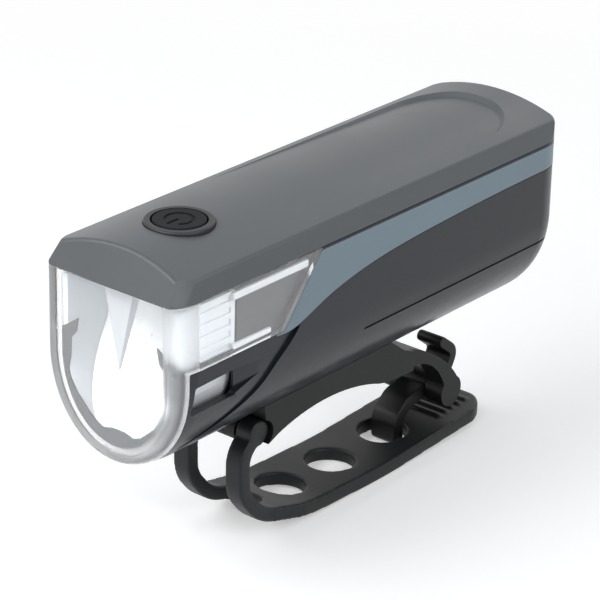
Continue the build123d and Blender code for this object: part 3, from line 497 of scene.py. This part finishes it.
def moulded(
    name, colour, roughness, gloss=0.5, tone=0.08, size=None, drift=0.02, dust=0.12, coat=0.0,
    coat_roughness=0.0,
):
    """Moulded plastic or rubber: grain, drifting tone and roughness, dust and, where given, a coat."""
    finish = settings("finish")
    material, tree, shader = surface(name, colour, roughness)
    shader.inputs["Specular IOR Level"].default_value = gloss
    if coat:
        shader.inputs["Coat Weight"].default_value = coat
        shader.inputs["Coat Roughness"].default_value = coat_roughness
    grain = place(tree, "moulded_grain", Size=size or finish.grain_size, Drift_Size=drift)
    specks = place(tree, "handling_dust", Amount=dust)
    dark = opaque([channel * (1 - tone) for channel in colour])
    light = opaque([min(channel * (1 + tone), 1.0) for channel in colour])
    dusty = opaque([channel * DUST_TONE_SHARE + DUST_LIFT for channel in colour])
    clean = mixed(tree, "RGBA", grain.outputs["Drift"], dark, light)
    shown = mixed(tree, "RGBA", specks.outputs["Mask"], clean, dusty)
    tree.links.new(shown, shader.inputs["Base Color"])
    rough = toned(tree, grain.outputs["Drift"], roughness - ROUGHNESS_DRIFT, roughness + ROUGHNESS_DRIFT)
    tree.links.new(rough, shader.inputs["Roughness"])
    bumped(tree, shader, grain.outputs["Height"], finish.grain_depth)
    return material


def make_clear_material():
    """Clear polycarbonate with a frosted rim, that lets the lamps through to what lies behind it."""
    low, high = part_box("lens")
    height = high.z - low.z
    material, tree, shader = surface("clear_lens", LENS_CLEAR, roughness=0.03)
    shader.inputs["Transmission Weight"].default_value = 0.95
    shader.inputs["IOR"].default_value = 1.5
    haze = place(tree, "moulded_grain", Size=0.004, Drift_Size=0.012)
    frost = place(
        tree, "frosted_rim", Half_Width=high.x, Drop=height * FROST_DROP_SHARE,
        Spring=low.z + height * FROST_SPRING_SHARE, Front=low.y, Depth=FROST_DEPTH,
        Inner_Share=FROST_INNER_SHARE,
    )
    smooth = toned(tree, haze.outputs["Drift"], low=0.015, high=0.05)
    rough = mixed(tree, "FLOAT", frost.outputs["Mask"], smooth, FROST_ROUGHNESS)
    tree.links.new(rough, shader.inputs["Roughness"])
    bumped(tree, shader, haze.outputs["Height"], depth=0.000008)
    clear = tree.nodes.new("ShaderNodeBsdfTransparent")
    clear.inputs["Color"].default_value = opaque(LENS_LIGHT)
    shadow_rays = path_switch(tree, ("Is Shadow Ray",))
    lit = mixed_shader(tree, shadow_rays, shader.outputs[0], clear.outputs[0])
    tree.links.new(lit, tree.nodes["Material Output"].inputs["Surface"])
    return material


def make_reflector_material():
    """Metallised plastic with a soft ripple."""
    material, tree, shader = surface("bright_metal", REFLECTOR_SILVER, roughness=0.3, metallic=0.4)
    ripple = place(tree, "moulded_grain", Size=0.003)
    rough = toned(tree, ripple.outputs["Height"], low=0.24, high=0.36)
    tree.links.new(rough, shader.inputs["Roughness"])
    bumped(tree, shader, ripple.outputs["Drift"], depth=0.00008)
    return material


def make_metal(name, colour, roughness, line_size, depth):
    """Metal with fine lines."""
    material, tree, shader = surface(name, colour, roughness, metallic=1.0)
    lines = place(tree, "brushed_lines", Line_Size=line_size)
    smooth, coarse = roughness * LINE_SMOOTH_SHARE, roughness * LINE_ROUGH_SHARE
    rough = toned(tree, lines.outputs["Height"], smooth, coarse)
    tree.links.new(rough, shader.inputs["Roughness"])
    bumped(tree, shader, lines.outputs["Height"], depth)
    return material


def make_board_material():
    """Solder mask with a faint pattern of tracks under it."""
    material, tree, shader = surface("board_green", BOARD_GREEN, roughness=0.35)
    bricks = tree.nodes.new("ShaderNodeTexBrick")
    bricks.inputs["Scale"].default_value = 320.0
    bricks.inputs["Mortar Size"].default_value = 0.06
    tree.links.new(object_coordinates(tree), bricks.inputs["Vector"])
    tracks = mixed(tree, "RGBA", bricks.outputs["Fac"], opaque(BOARD_GREEN), opaque(TRACK_GREEN))
    tree.links.new(tracks, shader.inputs["Base Color"])
    bumped(tree, shader, bricks.outputs["Fac"], depth=0.00003)
    return material


def make_emitter_material():
    """Yellow phosphor under a clear dome."""
    material, tree, shader = surface("led_yellow", LED_YELLOW, roughness=0.2)
    grain = place(tree, "moulded_grain", Size=0.0002)
    phosphor = mixed(tree, "RGBA", grain.outputs["Height"], opaque(LED_AMBER), opaque(LED_YELLOW))
    tree.links.new(phosphor, shader.inputs["Base Color"])
    shader.inputs["Coat Weight"].default_value = 1.0
    return material


def paint(material, *nodes):
    """Give CAD nodes a material."""
    for node in nodes:
        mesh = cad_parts[node].data
        mesh.materials.clear()
        mesh.materials.append(material)


def merged_mesh(node):
    """A CAD node's mesh as a closed one, with its loose triangles joined and its flat faces made whole."""
    mesh = bmesh.new()
    mesh.from_mesh(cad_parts[node].data)
    bmesh.ops.remove_doubles(mesh, verts=mesh.verts, dist=MERGE_DISTANCE)
    bmesh.ops.dissolve_limit(mesh, angle_limit=FLAT_ANGLE, verts=mesh.verts, edges=mesh.edges)
    return mesh


def new_object(name, data):
    """Object of a mesh or a lamp, in the scene."""
    made = bpy.data.objects.new(name, data)
    bpy.context.scene.collection.objects.link(made)
    return made


def new_piece(name, mesh, *materials):
    """Object of a finished bmesh, at the origin, with its materials."""
    data = bpy.data.meshes.new(name)
    mesh.to_mesh(data)
    mesh.free()
    for material in materials:
        data.materials.append(material)
    return new_object(name, data)


def settle(piece):
    """Turn a piece's modifiers into its plain mesh."""
    graph = bpy.context.evaluated_depsgraph_get()
    data = bpy.data.meshes.new_from_object(piece.evaluated_get(graph))
    piece.modifiers.clear()
    piece.data = data
    return piece


def round_edges(piece, width, edge_material=-1):
    """Bevel the sharp edges and smooth the rest; an edge material of -1 keeps that of the faces beside."""
    piece.data.shade_smooth()
    bevel = piece.modifiers.new("edges", "BEVEL")
    bevel.width = width
    bevel.segments = 2
    bevel.limit_method = "ANGLE"
    bevel.angle_limit = EDGE_ANGLE
    bevel.material = edge_material
    normals = piece.modifiers.new("normals", "WEIGHTED_NORMAL")
    normals.keep_sharp = True
    return settle(piece)


def subtract(piece, cutter):
    """Cut one closed piece out of another."""
    cut = piece.modifiers.new("cut", "BOOLEAN")
    cut.operation = "DIFFERENCE"
    cut.solver = "EXACT"
    cut.object = cutter
    settle(piece)
    bpy.data.objects.remove(cutter)


def carry(piece, body, slot, *nodes):
    """Let a piece ride on a body, in place of CAD nodes if any are named."""
    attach(piece, body)
    if nodes:
        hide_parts(*nodes)


def moulded_shell(node, body, slot, material, width):
    """A CAD node's form with rounded edges, in the node's place."""
    piece = new_piece(node + "_moulded", merged_mesh(node), material)
    carry(round_edges(piece, width), body, slot, node)


def ring_sector(mesh, centre, inner, outer, start, end, low, high, steps=40):
    """Closed sector of a flat ring between two heights."""
    columns = []
    for step in range(steps + 1):
        angle = start + (end - start) * step / steps
        across, along = math.cos(angle), math.sin(angle)
        columns.append([
            mesh.verts.new((centre.x + across * radius, centre.y + along * radius, height))
            for radius, height in ((inner, low), (outer, low), (outer, high), (inner, high))
        ])
    for first, second in zip(columns, columns[1:]):
        for side in range(4):
            after = (side + 1) % 4
            mesh.faces.new((first[side], first[after], second[after], second[side]))
    mesh.faces.new(reversed(columns[0]))
    mesh.faces.new(columns[-1])


def block(mesh, low, high):
    """Closed box between two corners."""
    made = bmesh.ops.create_cube(mesh, size=1.0)["verts"]
    size = [after - before for before, after in zip(low, high)]
    middle = [(after + before) / 2 for before, after in zip(low, high)]
    bmesh.ops.scale(mesh, vec=size, verts=made)
    bmesh.ops.translate(mesh, vec=middle, verts=made)


def separate_solids(mesh):
    """The vertices of each separate solid in a bmesh, in the order of the mesh."""
    seen = set()
    solids = []
    for first in mesh.verts:
        if first in seen:
            continue
        seen.add(first)
        reached = [first]
        for vertex in reached:
            for edge in vertex.link_edges:
                other = edge.other_vert(vertex)
                if other not in seen:
                    seen.add(other)
                    reached.append(other)
        solids.append(reached)
    return solids


def screw_sizes(node, axis):
    """Head centres of a node's screws, and the sizes of its first screw, measured along an axis."""
    mesh = merged_mesh(node)
    heads, sizes = [], []
    for solid in separate_solids(mesh):
        places = [vertex.co.copy() for vertex in solid]
        low = Vector([min(place[side] for place in places) for side in range(3)])
        high = Vector([max(place[side] for place in places) for side in range(3)])
        middle = (low + high) / 2
        reaches = [(place - middle).dot(axis) for place in places]
        radii = [((place - middle) - axis * reach).length for place, reach in zip(places, reaches)]
        top, bottom = max(reaches), min(reaches)
        head_radius = max(radii)
        shank_radius = min(radius for radius in radii if radius > head_radius * SCREW_AXIS_SHARE)
        split = (head_radius + shank_radius) / 2
        head_low = min(reach for radius, reach in zip(radii, reaches) if radius > split)
        heads.append(middle + axis * top)
        sizes.append({
            "Head Radius": head_radius,
            "Head Height": top - head_low,
            "Shank Radius": shank_radius,
            "Shank Length": head_low - bottom,
        })
    mesh.free()
    return heads, sizes[0]


def make_screw_tree():
    """Node tree that sets a cross-recessed screw on each point, its head's top on the point."""
    tree = bpy.data.node_groups.new("cross_screws", "GeometryNodeTree")
    inputs = {
        "Geometry": "Geometry", "Head Radius": "Float", "Head Height": "Float", "Shank Radius": "Float",
        "Shank Length": "Float", "Recess Width": "Float", "Recess Depth": "Float", "Recess Span": "Float",
        "Facets": "Int", "Turn": "Vector", "Material": "Material",
    }
    for name, kind in inputs.items():
        tree.interface.new_socket(name, in_out="INPUT", socket_type="NodeSocket" + kind)
    tree.interface.new_socket("Geometry", in_out="OUTPUT", socket_type="NodeSocketGeometry")
    given = tree.nodes.new("NodeGroupInput").outputs
    result = tree.nodes.new("NodeGroupOutput").inputs

    def round_bar(radius, length, middle):
        """Upright bar whose middle stands at a height."""
        bar = tree.nodes.new("GeometryNodeMeshCylinder")
        height = tree.nodes.new("ShaderNodeCombineXYZ")
        move = tree.nodes.new("GeometryNodeTransform")
        tree.links.new(given["Facets"], bar.inputs["Vertices"])
        tree.links.new(radius, bar.inputs["Radius"])
        tree.links.new(length, bar.inputs["Depth"])
        tree.links.new(middle, height.inputs["Z"])
        tree.links.new(height.outputs[0], move.inputs["Translation"])
        tree.links.new(bar.outputs["Mesh"], move.inputs["Geometry"])
        return move.outputs["Geometry"]

    head_middle = maths(tree, "DIVIDE", given["Head Height"], -2.0)
    head = round_bar(given["Head Radius"], given["Head Height"], head_middle)
    half_shank = maths(tree, "DIVIDE", given["Shank Length"], -2.0)
    shank_middle = maths(tree, "SUBTRACT", half_shank, given["Head Height"])
    shank = round_bar(given["Shank Radius"], given["Shank Length"], shank_middle)
    recess = tree.nodes.new("GeometryNodeMeshBoolean")
    recess.operation = "DIFFERENCE"
    recess.solver = "EXACT"
    tree.links.new(head, recess.inputs["Mesh 1"])
    arm_height = maths(tree, "MULTIPLY", given["Recess Depth"], 2.0)
    for long_side, short_side in (("X", "Y"), ("Y", "X")):
        arm = tree.nodes.new("GeometryNodeMeshCube")
        size = tree.nodes.new("ShaderNodeCombineXYZ")
        tree.links.new(given["Recess Span"], size.inputs[long_side])
        tree.links.new(given["Recess Width"], size.inputs[short_side])
        tree.links.new(arm_height, size.inputs["Z"])
        tree.links.new(size.outputs[0], arm.inputs["Size"])
        tree.links.new(arm.outputs["Mesh"], recess.inputs["Mesh 2"])
    screw = tree.nodes.new("GeometryNodeJoinGeometry")
    for shape in (recess.outputs["Mesh"], shank):
        tree.links.new(shape, screw.inputs[0])
    points = tree.nodes.new("GeometryNodeMeshToPoints")
    turn = tree.nodes.new("FunctionNodeEulerToRotation")
    spread = tree.nodes.new("GeometryNodeInstanceOnPoints")
    real = tree.nodes.new("GeometryNodeRealizeInstances")
    painted = tree.nodes.new("GeometryNodeSetMaterial")
    tree.links.new(given["Geometry"], points.inputs["Mesh"])
    tree.links.new(given["Turn"], turn.inputs["Euler"])
    tree.links.new(points.outputs["Points"], spread.inputs["Points"])
    tree.links.new(screw.outputs[0], spread.inputs["Instance"])
    tree.links.new(turn.outputs["Rotation"], spread.inputs["Rotation"])
    tree.links.new(spread.outputs["Instances"], real.inputs["Geometry"])
    tree.links.new(real.outputs["Geometry"], painted.inputs["Geometry"])
    tree.links.new(given["Material"], painted.inputs["Material"])
    tree.links.new(painted.outputs["Geometry"], result["Geometry"])
    return tree


def set_screws(node, axis, tree, material):
    """Screws with a cross recess in the places of a CAD node's screws, all of its first screw's sizes."""
    screws = settings("screws")
    heads, sizes = screw_sizes(node, axis)
    data = bpy.data.meshes.new(node)
    data.from_pydata(heads, [], [])
    piece = new_object(node + "_crossed", data)
    spread = piece.modifiers.new("screws", "NODES")
    spread.node_group = tree
    values = {
        **sizes,
        "Recess Width": screws.recess_width,
        "Recess Depth": min(screws.recess_depth, sizes["Head Height"] / 2),
        "Recess Span": screws.recess_share * 2 * sizes["Head Radius"],
        "Facets": screws.facets,
        "Turn": axis.to_track_quat("Z", "Y").to_euler(),
        "Material": material,
    }
    for socket in tree.interface.items_tree:
        if socket.in_out == "INPUT" and socket.name in values:
            spread[socket.identifier] = values[socket.name]
    return round_edges(settle(piece), screws.edge)


def bezel_outline(low, high):
    """Right half of the bezel's outline: the outer D and the stepped inner edge, both from the top down."""
    reach = settings("finish").bezel_reach
    half = high.x + reach
    spring = low.z + (high.z - low.z) * BEZEL_SPRING_SHARE
    drop = spring - low.z + reach
    angles = [math.pi / 2 * step / BEZEL_STEPS for step in range(BEZEL_STEPS + 1)]
    arc = [(half * math.cos(angle), spring - drop * math.sin(angle)) for angle in angles]
    outer = [(half, spring + half * BEZEL_TOP_SHARE), *arc]
    inner = [(half * across, spring + half * up) for across, up in BEZEL_INNER_SHARES]
    return outer, inner


def make_bezel(material):
    """Flat stepped bezel on the front of the light chamber, round the reflector's mouth: a dark grey sheet of
    painted shade for the chamber's shaded inner wall.
    """
    low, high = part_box("light_chamber")
    depth = settings("finish").bezel_depth
    outer, inner = bezel_outline(low, high)
    left_outer = [(-across, up) for across, up in reversed(outer[:-1])]
    left_inner = [(-across, up) for across, up in inner]
    right_inner = inner[-2::-1]
    mesh = bmesh.new()
    corners = [(across, low.y - depth, up) for across, up in outer + left_outer + left_inner + right_inner]
    face = mesh.faces.new([mesh.verts.new(corner) for corner in corners])
    grown = bmesh.ops.extrude_face_region(mesh, geom=[face])
    moved = [item for item in grown["geom"] if isinstance(item, bmesh.types.BMVert)]
    bmesh.ops.translate(mesh, vec=(0, depth * BEZEL_SEAT_SHARE, 0), verts=moved)
    bmesh.ops.recalc_face_normals(mesh, faces=mesh.faces)
    return new_piece("reflector_bezel", mesh, material)


def make_window_rails(material):
    """Two pale rails behind each side window, between the lens and the inner frame."""
    finish = settings("finish")
    lens_high, frame_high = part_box("lens")[1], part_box("inner_frame")[1]
    trim_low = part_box("side_trim_right")[0]
    near = frame_high.x + RAIL_GAP
    far = near + finish.rail_thickness
    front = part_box("light_chamber")[1].y - RAIL_OVERLAP
    top_rail = (lens_high.z - RAIL_TOP_DROP, lens_high.y - RAIL_TOP_SETBACK)
    foot_rail = (trim_low.z + RAIL_FOOT_RISE, trim_low.y)
    mesh = bmesh.new()
    for head, rear in (top_rail, foot_rail):
        for left, right in ((near, far), (-far, -near)):
            block(mesh, (left, front, head - finish.rail_height), (right, rear, head))
    return new_piece("window_rails", mesh, material)


def make_symbol_cutter():
    """Closed form of the power symbol, an open ring and a bar, reaching down into the button's cap."""
    symbol = settings("symbol")
    low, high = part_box("power_button")
    centre = (low + high) / 2
    floor, above = high.z - symbol.depth, high.z + symbol.depth
    inner, outer = symbol.radius - symbol.line / 2, symbol.radius + symbol.line / 2
    front_angle = -math.pi / 2
    start = front_angle + symbol.opening / 2
    end = front_angle + 2 * math.pi - symbol.opening / 2
    bar_front = centre.y - outer - symbol.line / 2
    bar_rear = centre.y - symbol.line / 2
    mesh = bmesh.new()
    ring_sector(mesh, centre, inner, outer, start, end, floor, above)
    block(mesh, (-symbol.line / 2, bar_front, floor), (symbol.line / 2, bar_rear, above))
    bmesh.ops.recalc_face_normals(mesh, faces=mesh.faces)
    return new_piece("symbol_cutter", mesh)


class HEADLIGHT_OT_groups(bpy.types.Operator):
    """Build the shader groups that several finishes share"""

    bl_idname = "headlight.groups"
    bl_label = "Shader groups"

    def execute(self, context):
        make_grain_group()
        make_dust_group()
        make_brushed_group()
        make_frost_group()
        return {"FINISHED"}


class HEADLIGHT_OT_housing(bpy.types.Operator):
    """Finish the cover, the case, the side trim and the rubber seals"""

    bl_idname = "headlight.housing"
    bl_label = "Housing"

    def execute(self, context):
        finish = settings("finish")
        case = moulded(
            "case_grey", finish.case_colour, roughness=0.34, gloss=0.1, coat=0.45, coat_roughness=0.2,
        )
        cover = moulded("cover_grey", finish.cover_colour, roughness=0.38, gloss=0.4)
        moulded_shell("top_cover", "light", "cover_grey", cover, finish.edge_round)
        moulded_shell("lower_case", "light", "case_grey", case, finish.edge_round)
        rubber = moulded("black_rubber", finish.rubber_colour, roughness=0.6, size=0.0002)
        inlay = moulded("trim_grey", finish.trim_colour, roughness=0.36, gloss=0.3)
        # The trims' rounded edges take the black rubber, a painted shade line for the gap between trim and
        # case
        for node in ("side_trim_right", "side_trim_left"):
            piece = new_piece(node + "_inlay", merged_mesh(node), inlay, rubber)
            carry(round_edges(piece, finish.gap_shade_width, edge_material=1), "light", "trim_grey", node)
        paint(rubber, "lens_gasket", "cover_seal", "usb_flap")
        paint(moulded("ring_rubber", finish.ring_colour, roughness=0.5, size=0.0002), "button_ring")
        return {"FINISHED"}


class HEADLIGHT_OT_optics(bpy.types.Operator):
    """Finish the lens, the reflector, the chamber and the LED"""

    bl_idname = "headlight.optics"
    bl_label = "Optics"

    def execute(self, context):
        finish = settings("finish")
        paint(make_clear_material(), "lens")
        pale = moulded("pale_plastic", finish.chamber_colour, roughness=0.16, dust=0.0)
        paint(pale, "light_chamber")
        rails = round_edges(make_window_rails(pale), finish.rail_thickness * RAIL_EDGE_SHARE)
        carry(rails, "light", "pale_plastic")
        paint(make_reflector_material(), "reflector")
        grey = moulded(
            "frame_grey", finish.frame_colour, roughness=0.4, gloss=0.2, tone=0.6, drift=0.005, dust=0.0,
        )
        paint(grey, "inner_frame")
        hood_colour = [channel * HOOD_TONE_SHARE for channel in finish.chamber_colour]
        paint(moulded("hood_grey", hood_colour, roughness=0.3, dust=0.0), "led_carrier")
        paint(make_emitter_material(), "led_emitter")
        # The bezel's grey is painted shade for the chamber's shaded inner wall round the reflector
        bezel_painted_shade = moulded("bezel_painted_shade", finish.bezel_shade_colour, roughness=0.35, dust=0.0)
        bezel = round_edges(make_bezel(bezel_painted_shade), finish.bezel_depth * BEZEL_EDGE_SHARE)
        carry(bezel, "light", "frame_grey")
        return {"FINISHED"}


class HEADLIGHT_OT_button(bpy.types.Operator):
    """Finish the power button and engrave its symbol"""

    bl_idname = "headlight.button"
    bl_label = "Power button"

    def execute(self, context):
        finish = settings("finish")
        rubber = moulded(
            "button_rubber", finish.rubber_colour, roughness=0.55, gloss=0.1, size=0.0002, dust=0.05,
        )
        cap = new_piece("power_cap", merged_mesh("power_button"), rubber)
        subtract(cap, make_symbol_cutter())
        round_edges(cap, settings("symbol").line * CAP_EDGE_SHARE)
        carry(cap, "button", "button_rubber", "power_button")
        return {"FINISHED"}


class HEADLIGHT_OT_mount(bpy.types.Operator):
    """Finish the saddle, the lever and the strap"""

    bl_idname = "headlight.mount"
    bl_label = "Bar mount"

    def execute(self, context):
        finish = settings("finish")
        nylon = moulded("mount_black", finish.mount_colour, roughness=0.42, gloss=0.25)
        width = finish.edge_round * MOUNT_EDGE_SHARE
        moulded_shell("saddle", "light", "mount_black", nylon, width)
        moulded_shell("release_lever", "lever", "mount_black", nylon, width)
        rubber = moulded("strap_rubber", finish.rubber_colour, roughness=0.46, gloss=0.32)
        strap = new_piece("strap_band", merged_mesh("strap"), rubber)
        even = strap.modifiers.new("even", "REMESH")
        even.mode = "VOXEL"
        even.voxel_size = finish.strap_voxel
        soften = strap.modifiers.new("round", "SMOOTH")
        soften.factor = 0.5
        soften.iterations = finish.strap_rounds
        settle(strap).data.shade_smooth()
        carry(strap, "strap", "strap_rubber", "strap")
        return {"FINISHED"}


class HEADLIGHT_OT_works(bpy.types.Operator):
    """Finish the electronics, the battery, the screws and the pins"""

    bl_idname = "headlight.works"
    bl_label = "Inner works"

    def execute(self, context):
        paint(make_board_material(), "led_board", "circuit_board")
        cast = make_metal("bare_aluminium", ALUMINIUM, roughness=0.38, line_size=0.0003, depth=0.00001)
        paint(cast, "heat_sink")
        steel = make_metal("screw_steel", STEEL, roughness=0.34, line_size=0.00015, depth=0.000006)
        paint(steel, "usb_socket", "battery_tabs", "strap_pin", "lever_pin")
        tree = make_screw_tree()
        head_directions = {
            "board_screws": Vector((0, 0, 1)),
            "case_screws": Vector((0, 1, 0)),
            "mount_screws": Vector((0, 0, -1)),
        }
        for node, axis in head_directions.items():
            carry(set_screws(node, axis, tree, steel), "light", "screw_steel", node)
        black = moulded("black_plastic", BLACK_PLASTIC, roughness=0.45)
        paint(black, "tactile_switch", "battery_tray")
        paint(moulded("cell_wrap", CELL_BLUE, roughness=0.2, dust=0.02), "battery_cell")
        return {"FINISHED"}


def area_lamp(name, position, size, power):
    """Rectangular soft lamp aimed at the light."""
    lamp = bpy.data.lights.new(name, "AREA")
    lamp.shape = "RECTANGLE"
    lamp.size, lamp.size_y = size
    lamp.energy = power
    direction = Vector(LAMP_TARGET) - Vector(position)
    aim = direction.to_track_quat("-Z", "Y").to_matrix().to_4x4()
    new_object(name, lamp).matrix_world = Matrix.Translation(position) @ aim


def make_camera():
    """Camera at the photo's view."""
    stage = settings("stage")
    azimuth, elevation = stage.azimuth, stage.elevation
    ahead = Vector((
        -math.sin(azimuth) * math.cos(elevation),
        math.cos(azimuth) * math.cos(elevation),
        -math.sin(elevation),
    ))
    right = Vector((math.cos(azimuth), math.sin(azimuth), 0.0))
    up = right.cross(ahead)
    turned_right = right * math.cos(stage.roll) + up * math.sin(stage.roll)
    turned_up = up * math.cos(stage.roll) - right * math.sin(stage.roll)
    data = bpy.data.cameras.new("photo_camera")
    data.lens = stage.focal_length
    data.sensor_width = SENSOR_WIDTH
    data.clip_start, data.clip_end = VIEW_START, VIEW_END
    camera = new_object("photo_camera", data)
    axes = Matrix((turned_right, turned_up, -ahead)).transposed().to_4x4()
    camera.matrix_world = Matrix.Translation(stage.camera_place) @ axes
    bpy.context.scene.camera = camera


def make_floor():
    """Pale floor under the lowest point of the light, which turns plain white further out."""
    floor_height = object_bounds()[0].z
    bpy.ops.mesh.primitive_plane_add(size=FLOOR_SIZE, location=(0, 0, floor_height))
    floor = bpy.context.object
    floor.name = "floor"
    material, tree, shader = surface("floor_pale", settings("stage").floor_colour, roughness=0.8)
    shader.inputs["Specular IOR Level"].default_value = 0.1
    glow = tree.nodes.new("ShaderNodeEmission")
    glow.inputs["Color"].default_value = opaque(WHITE)
    glow.inputs["Strength"].default_value = FLOOR_GLOW
    far = tree.nodes.new("ShaderNodeEmission")
    far.inputs["Color"].default_value = opaque(WHITE)
    near = tree.nodes.new("ShaderNodeAddShader")
    tree.links.new(shader.outputs[0], near.inputs[0])
    tree.links.new(glow.outputs[0], near.inputs[1])
    distance = tree.nodes.new("ShaderNodeVectorMath")
    distance.operation = "LENGTH"
    tree.links.new(object_coordinates(tree), distance.inputs[0])
    fade = ranged(
        tree, distance.outputs["Value"], FLOOR_FADE_START, FLOOR_FADE_END, kind="SMOOTHSTEP",
    )
    shown = mixed_shader(tree, fade, near.outputs[0], far.outputs[0])
    floor_out = mixed_shader(tree, path_switch(tree, SEEN_RAYS), shader.outputs[0], shown)
    tree.links.new(floor_out, tree.nodes["Material Output"].inputs["Surface"])
    floor.data.materials.append(material)
    floor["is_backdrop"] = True


def make_world():
    """Even pale surround: white where it is seen, softer as a light."""
    world = bpy.data.worlds.new("studio_surround")
    world.use_nodes = True
    tree = world.node_tree
    soft = tree.nodes["Background"]
    soft.inputs["Color"].default_value = opaque(SURROUND_COLOUR)
    soft.inputs["Strength"].default_value = SURROUND_STRENGTH
    seen = tree.nodes.new("ShaderNodeBackground")
    seen.inputs["Color"].default_value = opaque(WHITE)
    seen.inputs["Strength"].default_value = 1.0
    switch = path_switch(tree, SEEN_RAYS)
    surround = mixed_shader(tree, switch, soft.outputs[0], seen.outputs[0])
    tree.links.new(surround, tree.nodes["World Output"].inputs["Surface"])
    bpy.context.scene.world = world


class HEADLIGHT_OT_stage(bpy.types.Operator):
    """Set up the camera, the lamps, the surround and the floor"""

    bl_idname = "headlight.stage"
    bl_label = "Studio"

    def execute(self, context):
        make_camera()
        make_world()
        make_floor()
        for name, lamp in LAMPS.items():
            area_lamp(name, **lamp)
        context.scene.view_settings.view_transform = "Standard"
        return {"FINISHED"}


STEPS = ("groups", "housing", "optics", "button", "mount", "works", "stage")
PROPERTY_GROUPS = {
    "finish": HeadlightFinish,
    "symbol": HeadlightSymbol,
    "screws": HeadlightScrews,
    "stage": HeadlightStage,
}


class HEADLIGHT_PT_panel(bpy.types.Panel):
    """Sizes, colours and steps of the headlight"""

    bl_idname = "HEADLIGHT_PT_panel"
    bl_label = "Bike headlight"
    bl_space_type = "VIEW_3D"
    bl_region_type = "UI"
    bl_category = "Headlight"

    def draw(self, context):
        for group, cls in PROPERTY_GROUPS.items():
            column = self.layout.column(align=True)
            for name in cls.__annotations__:
                column.prop(settings(group), name)
        for step in STEPS:
            self.layout.operator("headlight." + step)


CLASSES = (
    *PROPERTY_GROUPS.values(),
    HEADLIGHT_OT_groups,
    HEADLIGHT_OT_housing,
    HEADLIGHT_OT_optics,
    HEADLIGHT_OT_button,
    HEADLIGHT_OT_mount,
    HEADLIGHT_OT_works,
    HEADLIGHT_OT_stage,
    HEADLIGHT_PT_panel,
)


def register():
    """Register the classes and give the scene its property groups."""
    for cls in CLASSES:
        bpy.utils.register_class(cls)
    for group, cls in PROPERTY_GROUPS.items():
        setattr(bpy.types.Scene, "headlight_" + group, PointerProperty(type=cls))


def unregister():
    """Take the property groups off the scene and unregister the classes."""
    for group in PROPERTY_GROUPS:
        delattr(bpy.types.Scene, "headlight_" + group)
    for cls in reversed(CLASSES):
        bpy.utils.unregister_class(cls)


def main():
    """Run every step in order."""
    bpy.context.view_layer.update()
    register()
    for step in STEPS:
        getattr(bpy.ops.headlight, step)()


if __name__ == "__main__":
    main()
